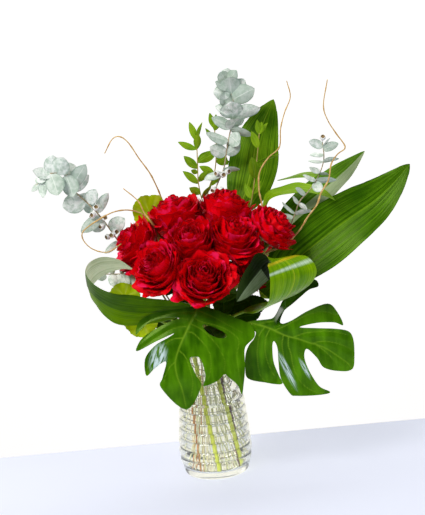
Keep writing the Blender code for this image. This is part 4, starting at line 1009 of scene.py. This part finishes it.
def blade(spec, materials, seed, areas):
    """A long leaf: a round stalk from the vase that flattens into a pleated blade. The materials are for its
    front, back and stalk, and for areas. Each area is a side, two shares across, two along and a material."""
    foot, neck, above = in_vase(spec.ring, spec.angle, STALK_RADIUS)
    fine = curve([neck, above, *spec.stalk, *spec.blade], 400)
    starts = int(np.argmin(np.linalg.norm(fine - np.array(spec.blade[0], float), axis=1)))
    stalk = up_to(foot, neck, 8) + [fine[round(starts * i / 14)] for i in range(14)]
    leaf = [fine[round(lerp(starts, len(fine) - 1, i / BLADE_RINGS))] for i in range(BLADE_RINGS + 1)]
    path = np.array(stalk + leaf)
    shares = np.r_[np.zeros(len(stalk)), np.linspace(0, 1, len(leaf))]
    shares[-1] = 0.9995
    ways = tangents(path)
    wide = along(spec.across, shares)
    wide = unit(wide - ways * (wide * ways).sum(1, keepdims=True))
    normal = np.cross(wide, ways)[:, None]
    flat = np.minimum(1.0, shares / FLATTENS_OVER)
    stout = STALK_RADIUS * slim(path, LEAF_SLIM)
    half_width = np.maximum(stout * (1 - shares), oval(shares, 0.82, 0.72) * spec.width / 2)
    half_width[-1] = 0.4
    flat, half_width, stout, share = (column[:, None] for column in (flat, half_width, stout, shares))
    m = BLADE_COLUMNS
    x = lerp(-np.cos(math.pi * np.arange(m + 1) / m), np.linspace(-1, 1, m + 1), flat)
    lens = np.sqrt(np.clip(1 - x**2, 0, 1))
    lift = lerp(lens, np.clip(lens * 1.6, 0, 1), flat) * lerp(stout, BLADE_HALF_THICKNESS, flat)
    reach = half_width * x
    fold = -spec.fold * np.abs(reach) * flat
    crease = (-PLEAT_DEPTH * np.abs(np.sin(x * spec.pleats * math.pi / 2)) * flat
              * np.clip(half_width / 20, 0, 1))
    waves = spec.ripple * flat * np.abs(x)**2.5 * np.sin(share * 21 + 1.5 * np.sign(x) + seed)
    waves = waves + 0.6 * spec.ripple * flat * grain(stack(x * 1.2, share * 9), 2.0, seed)
    sheet = offset(path[:, None], (wide[:, None], reach), (normal, fold + crease + waves))
    front, back = offset(sheet, (normal, lift)), offset(sheet, (-normal, lift))
    rings, over = (np.concatenate((one, two[:, -2:0:-1]), 1)
                   for one, two in ((front, back), ((x + 1) / 2, (x + 1) / 2)))
    c = np.arange(2 * m)
    sides = (c >= m).astype(int)
    middle = np.where(c < m, c + 0.5, 2 * m - c - 0.5) / m
    slots = np.tile(sides, (len(path) - 1, 1))
    for side, low_across, high_across, low_along, high_along, slot in areas:
        slots[(sides == side) & (low_across <= middle) & (middle <= high_across)
              & (low_along <= share[:-1]) & (share[:-1] <= high_along)] = slot
    slots[shares[:-1] < 0.02] = 2
    build = Build()
    build.rod(rings, (path[0], path[-1]), stack(over, share, 0, seed % 7 / 7),
              slots.ravel().tolist() + [2] * 2 * m + [0] * 2 * m)
    piece(spec.name + "_leaf", build, materials, "green_leaf", spec.name)


def inside(points, polygon):
    """Which points lie in a closed polygon."""
    x, y = points.T
    within = np.zeros(len(points), bool)
    for (x0, y0), (x1, y1) in zip(polygon, np.roll(polygon, -1, 0)):
        crosses = (y0 > y) != (y1 > y)
        with np.errstate(all="ignore"):
            within ^= crosses & (x < (x1 - x0) * (y - y0) / (y1 - y0) + x0)
    return within


def near_line(points, line):
    """Distance from points to a polyline, and the share along it of the nearest place."""
    best = np.full(len(points), 1e9)
    share = np.zeros(len(points))
    length = lengths(line)
    for k, (a, b) in enumerate(zip(line[:-1], line[1:])):
        ab = b - a
        t = np.clip(((points - a) @ ab) / ab.dot(ab), 0, 1)
        d = np.linalg.norm(points - a - t[:, None] * ab, axis=1)
        closer = d < best
        best[closer] = d[closer]
        share[closer] = (length[k] + t[closer] * math.sqrt(ab.dot(ab))) / length[-1]
    return best, share


def net_of(outlines, spacing):
    """Triangles that fill an outline, except its holes: points and faces."""
    points, edges = [], []
    loops = [smooth(loop, 5, closed=True) for loop in outlines]
    for loop in loops:
        edges += [(len(points) + i, len(points) + (i + 1) % len(loop)) for i in range(len(loop))]
        points += loop.tolist()

    def filled(places):
        within = inside(places, loops[0])
        for hole in loops[1:]:
            within &= ~inside(places, hole)
        return within

    low, high = loops[0].min(0), loops[0].max(0)
    xs = np.arange(low[0], high[0], spacing)
    ys = np.arange(low[1], high[1], spacing * 0.866)
    grid = np.array([(x + (j % 2) * spacing / 2, y) for j, y in enumerate(ys) for x in xs])
    keep = filled(grid)
    for loop in loops:
        keep &= near_line(grid, np.vstack((loop, loop[:1])))[0] > spacing * 0.45
    points = [Vector(p) for p in points + grid[keep].tolist()]
    verts, _, faces, _, _, _ = delaunay_2d_cdt(points, edges, [], 1, 1e-5)
    verts = np.array(verts)
    good = filled(np.array([verts[f].mean(0) for f in faces]))
    return verts, [list(f) for f, ok in zip(faces, good) if ok]


def monstera_left_bend(x, z):
    """The left split leaf's y, as in CAD: it hangs forward from its stalk and then straight down."""
    drop = 272 - z
    return -66 - 0.52 * drop + 0.0023 * drop**2 + 0.0012 * (x + 20)**2


def monstera_right_bend(x, z):
    """The right one's y: nearly flat, but its top right lobe steps back behind the looped leaf."""
    top_lobe = ease((z - 236 - 0.45 * (x - 109)) / 4)
    return -68 + 60 * top_lobe * ease((x - 97) / 26) - 0.05 * (x - 63) + 0.0006 * (x - 63)**2


def petiole(build, spec, grip, slot):
    """A leaf's stalk, from the vase's floor to the place where it holds the leaf."""
    foot, neck, above = in_vase(spec.ring, spec.angle, PETIOLE_RADIUS)
    path = curve([foot, lerp(foot, neck, 0.5), neck, above, *spec.petiole, grip], 60)
    radii = PETIOLE_RADIUS * np.linspace(1, 0.72, len(path)) * slim(path, LEAF_SLIM)
    build.tube(path, radii, 12, abs(int(spec.angle)), 0.02, slot)


def monstera(spec, outlines, veins, bend, seed):
    """A flat holed leaf with a raised net of veins, hung in the shape of its CAD solid."""
    flat, faces = net_of(outlines, MONSTERA_NET)
    nearest = np.full(len(flat), 1e9)
    glow = np.zeros(len(flat))
    for k, line in enumerate(veins):
        distance, share = near_line(flat, curve(line, 60))
        base, tip, strength = (0.7, 0.35, 0.75) if k else (1.5, 0.7, 1.0)
        line_glow = np.exp(-(distance / lerp(base, tip, share))**2) * strength * (1 - 0.5 * share)
        glow = np.maximum(glow, line_glow)
        nearest = np.minimum(nearest, distance)
    height = 1.5 * (1 - np.exp(-(nearest / 7.0)**1.4)) + 0.5 * grain(flat, 26.0, seed)
    x, z = flat.T
    points = np.stack((x, bend(x, z) - height * 0.9 + 0.6, z), 1)
    a, b, c = points[faces[0]]
    if np.cross(b - a, c - a)[1] > 0:
        faces = [f[::-1] for f in faces]
    right, up = ((flat - flat.min(0)) / np.ptp(flat, 0)).T
    build = Build()
    build.thick(points, faces, MONSTERA_THICKNESS, stack(right, up, glow, seed % 5 / 5), 0, 1)
    x, z = spec.grip
    petiole(build, spec, (x, bend(x, z) + 0.4, z), 2)
    piece(spec.name + "_leaf", build, [MONSTERA, MONSTERA_BACK, PETIOLE], "green_leaf", spec.name)


def lime_leaf(spec, seed):
    """A round ruffled leaf with a scalloped edge, on a stalk."""
    centre, right, up = np.array(spec.centre, float), unit(spec.right), unit(spec.up)
    out = unit(np.cross(right, up))
    rings, spokes = 20, 108
    a = circle(spokes)
    scallop = np.abs(np.cos(LIME_SCALLOPS * a / 2))
    rim = spec.radius * (0.95 + 0.05 * scallop**0.7 + 0.03 * np.sin(4 * a + seed)
                         + 0.012 * np.sin(31 * a) + 0.012 * np.sin(18 * a + seed))
    rim *= 1 - 0.22 * np.exp(-((a - 1.5 * math.pi) / 0.16)**2)
    share = np.linspace(0.02, 1, rings)[:, None]
    x, z = share * rim * np.cos(a), share * rim * np.sin(a)
    ruffle = 1.8 * share**3 * np.cos(LIME_SCALLOPS * a) + 1.4 * share**2 * np.sin(2 * a + seed)
    ruffle = ruffle + 0.7 * share * np.abs(np.sin(LIME_SCALLOPS * a / 2))
    points = offset(centre, (right, x), (up, z), (out, LIME_DISH * (x * x + z * z) + ruffle))
    faces = grid_faces(rings, spokes, wrap=True)
    faces += [[(k + 1) % spokes, k, rings * spokes] for k in range(spokes)]
    vein = np.exp(-((1 - scallop) / 0.10)**2) * (1 - 0.6 * share)
    detail = stack(a / (2 * math.pi), share, vein * 0.7, seed % 5 / 5).reshape(-1, 4)
    build = Build()
    build.thick(np.vstack((points.reshape(-1, 3), centre)), [f[::-1] for f in faces], 0.5,
                np.vstack((detail, detail[0])))
    x, z = spec.grip
    petiole(build, spec, centre + right * x + up * z + out * LIME_DISH * (x * x + z * z), 1)
    piece(spec.name + "_leaf", build, [LIME, PETIOLE], "lime_leaf", spec.name)


# ---------------------------------------------------------------- sprigs and twigs

def small_leaf(build, path, leaf, silver, rng):
    """A little cupped leaf on a short stalk; the round silver ones come to a small point."""
    base, way, across, normal = leaf_place(path, leaf)
    length, width = leaf.length * (1.02 if silver else 1.08), leaf.width * (1.03 if silver else 0.94)
    u, v, faces = leaf_net(11, 18)
    if silver:
        shape = oval(v, 0.80, 0.52) * (1 - 0.30 * ease((v - 0.75) / 0.25)) + 0.02
    else:
        shape = oval(v, 0.90, 0.85) + 0.03
    own, bend, cup, tilt = (rng.uniform(*limits)
                            for limits in ((), (-0.12, 0.20), (0.04, 0.15), (-0.10, 0.10)))
    wave = 0.03 * np.sin(6 * v + rng.uniform(0, 6)) * np.abs(u)
    skew = rng.uniform(-0.05, 0.05) * np.sin(math.pi * v)
    rise = length * bend * (v**2 - v) + width * (cup * np.abs(u * shape)**1.6 + tilt * u * shape + wave)
    points = offset(base, (way, length * v), (across, width / 2 * u * shape + width * skew), (normal, rise))
    build.thick(points, faces, 0.45, stack((u + 1) / 2, v, 0, own), 0, 1)


def seed_pod(build, base, way, seed):
    """A blunt ribbed cup on a short stalk, open at its end."""
    side, other = square_to(way, (0.2, 0.5, 1.0))
    a = circle(16)
    height, radius = np.array(POD_PROFILE).T[..., None]
    ribbed = radius * (1 + 0.08 * np.cos(4 * a) * (height > POD_RIBS_ABOVE))
    rings = offset(base, (way, height), (offset(0, (side, np.cos(a)), (other, np.sin(a))), ribbed))
    build.rod(rings, (base, base + way * POD_PROFILE[-1][0]),
              stack(a / 6.3, np.linspace(0, 1, len(height))[:, None], 0, seed * 0.31 % 1), 3)


def sprig(spec, seed):
    silver = spec.name.startswith("eucalyptus")
    foot, neck, above = in_vase(spec.ring, spec.angle, spec.stem_radius)
    path = curve([neck, above, *spec.path], SPRIG_RINGS)
    low, high = up_to(foot, neck, 6), curve(path, 70)
    radii = np.r_[np.full(len(low), spec.stem_radius), np.linspace(spec.stem_radius, SPRIG_TIP, len(high))]
    stem = np.vstack((low, high))
    build = Build()
    build.tube(stem, radii * slim(stem, SPRIG_SLIM), 10, seed, 0.06, 2)
    rng = np.random.default_rng(seed)
    for row in spec.leaves:
        small_leaf(build, path, Leaf(*row), silver, rng)
    for at, heading, lean in spec.pods:
        seed_pod(build, along(path, at), pointing(heading, lean), seed)
    looks = [SILVER, SILVER_BACK, SPRIG_STEM, POD] if silver else [RUSCUS, RUSCUS, RUSCUS_STEM, POD]
    piece(spec.name + "_sprig", build, looks, "silver_leaf" if silver else "bright_leaf", spec.name)


def twig(spec, seed):
    foot, neck, above = in_vase(spec.ring, spec.angle, spec.radius)
    path = np.vstack((up_to(foot, neck, 8), curve([neck, above, *spec.path], 150)))
    count = len(path)
    radii = lerp(spec.radius, TWIG_TIP, np.linspace(0, 1, count)) * slim(path, TWIG_SLIM)
    rng = np.random.default_rng(seed)
    for k in range(KNOTS):
        i = int(lerp(30, count - 6, k / (KNOTS - 1))) + int(rng.integers(-2, 3))
        radii = radii * (1 + 0.35 * np.exp(-((np.arange(count) - i) / 1.2)**2))
    build = Build()
    build.tube(path, radii, 8, seed, 0.08)
    piece(spec.name + "_twig", build, [BARK], "bark", spec.name)


# ---------------------------------------------------------------- the vase

def turned(name, profile, sides, material, *stands_for):
    """A closed body turned round Z from a profile of radii and heights that starts and ends on the axis."""
    radius, height = np.array(profile, float).T[..., None]
    a = circle(sides)
    rings = stack(radius * np.cos(a), radius * np.sin(a), height)
    build = Build()
    build.rod(rings[1:-1], ((0, 0, height[0, 0]), (0, 0, height[-1, 0])),
              np.zeros((*rings[1:-1].shape[:2], 4)))
    piece(name, build, [material], "vase_glass", *stands_for)


def body_radius(height):
    return np.interp(height, *np.array(BODY, float).T)


def from_foot(profile):
    return [(FOOT_RADIUS + radius, height) for radius, height in profile]


def vase():
    """The glass with its ribs, and the water in it."""
    outer = [(0, 1.2), (20, 1.2), *from_foot(FOOT_RING),
             (body_radius(8) - 1.2, 8.0), (body_radius(12) - 1.0, 12.0)]
    for z in np.arange(RIBS_FROM, RIBS_TO, RIB_PITCH / RIB_STEPS):
        swell = abs(math.sin(math.pi * (z - RIBS_FROM) / RIB_PITCH))**0.62
        outer.append((body_radius(z) + RIB_LOW + (RIB_HIGH - RIB_LOW) * swell, z))
    outer += [(body_radius(RIBS_TO) + RIB_LOW, RIBS_TO), *LIP]
    inner = [(body_radius(h) - GLASS_WALL, h) for h in np.linspace(INSIDE_TO, INSIDE_FROM, 44)]
    inner += [*from_foot(FLOOR_CORNER), (20, FLOOR_TOP), (0, FLOOR_TOP)]
    turned("vase_body", outer + inner, VASE_SIDES, GLASS, "vase")
    low = FLOOR_TOP + WATER_GAP
    wet = [(0, low), (20, low), *from_foot(WATER_CORNER)]
    wet += [(body_radius(h) - GLASS_WALL - WATER_GAP, h) for h in np.linspace(INSIDE_FROM, WATER_LEVEL, 30)]
    edge = wet[-1][0]
    wet += [(edge - inward, WATER_LEVEL - drop) for inward, drop in MENISCUS]
    wet.append((0, WATER_LEVEL - MENISCUS[-1][1]))
    turned("water", wet, WATER_SIDES, WATER)


# ---------------------------------------------------------------- all the pieces

STEM_LOOKS = {  # material, and share of the radius that shows in the vase
    "rose_01": (ROSE_GREEN, 1.15),
    "rose_02": (ROSE_GREEN, 1.15),
    "rose_04": (ROSE_BARK, 1.15),
    "rose_08": (ROSE_TAN, 0.5),
}
BLADE_LOOKS = {  # materials and areas, as blade() takes them
    "aspidistra_tall": ([ASPIDISTRA_TALL, ASPIDISTRA_BACK, PETIOLE], ()),
    "aspidistra_upper": ([ASPIDISTRA_PALE, ASPIDISTRA, PETIOLE, ASPIDISTRA_PALE],
                         ((1, 0.0, 0.5, 0, 1, 3),)),
    "aspidistra_broad": ([ASPIDISTRA_BACK, ASPIDISTRA, PETIOLE], ()),
    # the loop's front: painted shade on one half, painted light on the other
    "aspidistra_loop_left": ([LOOP_LEFT, LOOP_LEFT_BACK, PETIOLE, LOOP_LEFT_PAINTED_LIT],
                             ((0, 0.0, 0.5, 0, 1, 3),)),
    # the inside of the roll is painted shade, except its striped part and its start
    "aspidistra_loop_right": ([LOOP_BRIGHT, LOOP_PAINTED_INSIDE_SHADE, PETIOLE, LOOP_STRIPED],
                              ((1, 0.5, 1.0, 0.75, 1, 3), (1, 0.0, 1.0, 0.0, 0.24, 0))),
    "arching_leaf_upper": ([STRIP, STRIP, PETIOLE], ()),
    "arching_leaf_lower": ([STRIP, STRIP, PETIOLE], ()),
}

vase()
walls = leaf_walls()
for number, spec in enumerate(ROSES):
    bloom = rose_petals(spec, BLOOM_SEEDS + number)
    press(bloom, spec, walls)
    piece(spec.name + "_petals", bloom, [PETAL], "rose_petals", spec.name + "_bloom")
    stalk, stout = STEM_LOOKS.get(spec.name, (ROSE_LIGHT, 0.24))
    piece(spec.name + "_stalk", rose_stem(spec, STEM_SEEDS + number, stout),
          [stalk, CALYX, ROSE_LEAF], "rose_stem", spec.name + "_stem")
for seed, spec in enumerate(BLADES, BLADE_SEEDS):
    looks, areas = BLADE_LOOKS[spec.name]
    blade(spec, looks, seed, areas)
monstera(MONSTERA_LEFT, [MONSTERA_LEFT_OUTLINE, MONSTERA_LEFT_HOLE], MONSTERA_LEFT_VEINS, monstera_left_bend,
         MONSTERA_SEEDS[0])
monstera(MONSTERA_RIGHT, [MONSTERA_RIGHT_OUTLINE], MONSTERA_RIGHT_VEINS, monstera_right_bend,
         MONSTERA_SEEDS[1])
for make, specs, seeds in ((lime_leaf, LIME_LEAVES, LIME_SEEDS), (sprig, SPRIGS, SPRIG_SEEDS),
                           (twig, TWIGS, TWIG_SEEDS)):
    for seed, spec in enumerate(specs, seeds):
        make(spec, seed)


# ---------------------------------------------------------------- floor, backdrop, light and camera

def add_to_scene(name, data):
    obj = bpy.data.objects.new(name, data)
    bpy.context.scene.collection.objects.link(obj)
    return obj


def stage_sheet(name, corners, colour, roughness, glow, glow_colour):
    mesh = bpy.data.meshes.new(name)
    mesh.from_pydata(corners, [], [(0, 1, 2, 3)])
    look = Look(name)
    soft = look.noise(look.place(), 3.0, 2.0)
    look.set(Base_Color=look.mix(soft, colour, tuple(c * 0.97 for c in colour)), Roughness=roughness,
             Emission_Color=glow_colour, Emission_Strength=glow)
    mesh.materials.append(look.material)
    obj = add_to_scene(name, mesh)


stage_sheet("table_top", [(-1.6, -1.2, 0), (1.6, -1.2, 0), (1.6, 0.206, 0), (-1.6, 0.071, 0)],
            (0.46, 0.48, 0.555), 0.7, 0.40, (0.83, 0.87, 1.0))
stage_sheet("wall", [(-6.5, 3.4, -3.6), (6.5, 3.4, -3.6), (6.5, 3.4, 6.5), (-6.5, 3.4, 6.5)],
            (0.95, 0.945, 0.94), 0.9, 0.70, (1.0, 0.99, 0.985))

world = bpy.data.worlds.new("room")
bpy.context.scene.world = world
world.use_nodes = True
background = world.node_tree.nodes["Background"].inputs
background["Color"].default_value = (1.0, 0.99, 0.98, 1)
background["Strength"].default_value = 0.16


def lamp(name, place, target, size, power, colour=(1, 1, 1)):
    data = bpy.data.lights.new(name, "AREA")
    data.shape = "RECTANGLE"
    data.size, data.size_y = size
    data.energy, data.color = power, colour
    obj = add_to_scene(name, data)
    obj.location = place
    obj.rotation_euler = (Vector(target) - Vector(place)).to_track_quat("-Z", "Y").to_euler()


lamp("window", (-1.1, -1.3, 1.7), (0, 0, 0.3), (1.0, 1.0), 44, (1.0, 0.98, 0.96))
lamp("fill", (1.6, -1.0, 0.9), (0, 0, 0.3), (1.0, 1.2), 9, (0.95, 0.97, 1.0))
lamp("wall_wash", (0, 0.45, 2.2), (0, 1.1, 0.3), (2.5, 0.4), 16)

camera_data = bpy.data.cameras.new("camera")
camera_data.lens = CAMERA_LENS
camera_data.sensor_width = 36
camera = add_to_scene("camera", camera_data)
level, tilted = Vector((1, 0, 0)), Vector((0, math.sin(ELEVATION), math.cos(ELEVATION)))
ahead = Vector((0, math.cos(ELEVATION), -math.sin(ELEVATION)))
right = level * math.cos(ROLL) - tilted * math.sin(ROLL)
up = level * math.sin(ROLL) + tilted * math.cos(ROLL)
camera.matrix_world = Matrix.Translation(CAMERA_PLACE) @ Matrix((right, up, -ahead)).transposed().to_4x4()
bpy.context.scene.camera = camera
bpy.context.scene.view_settings.view_transform = "Standard"
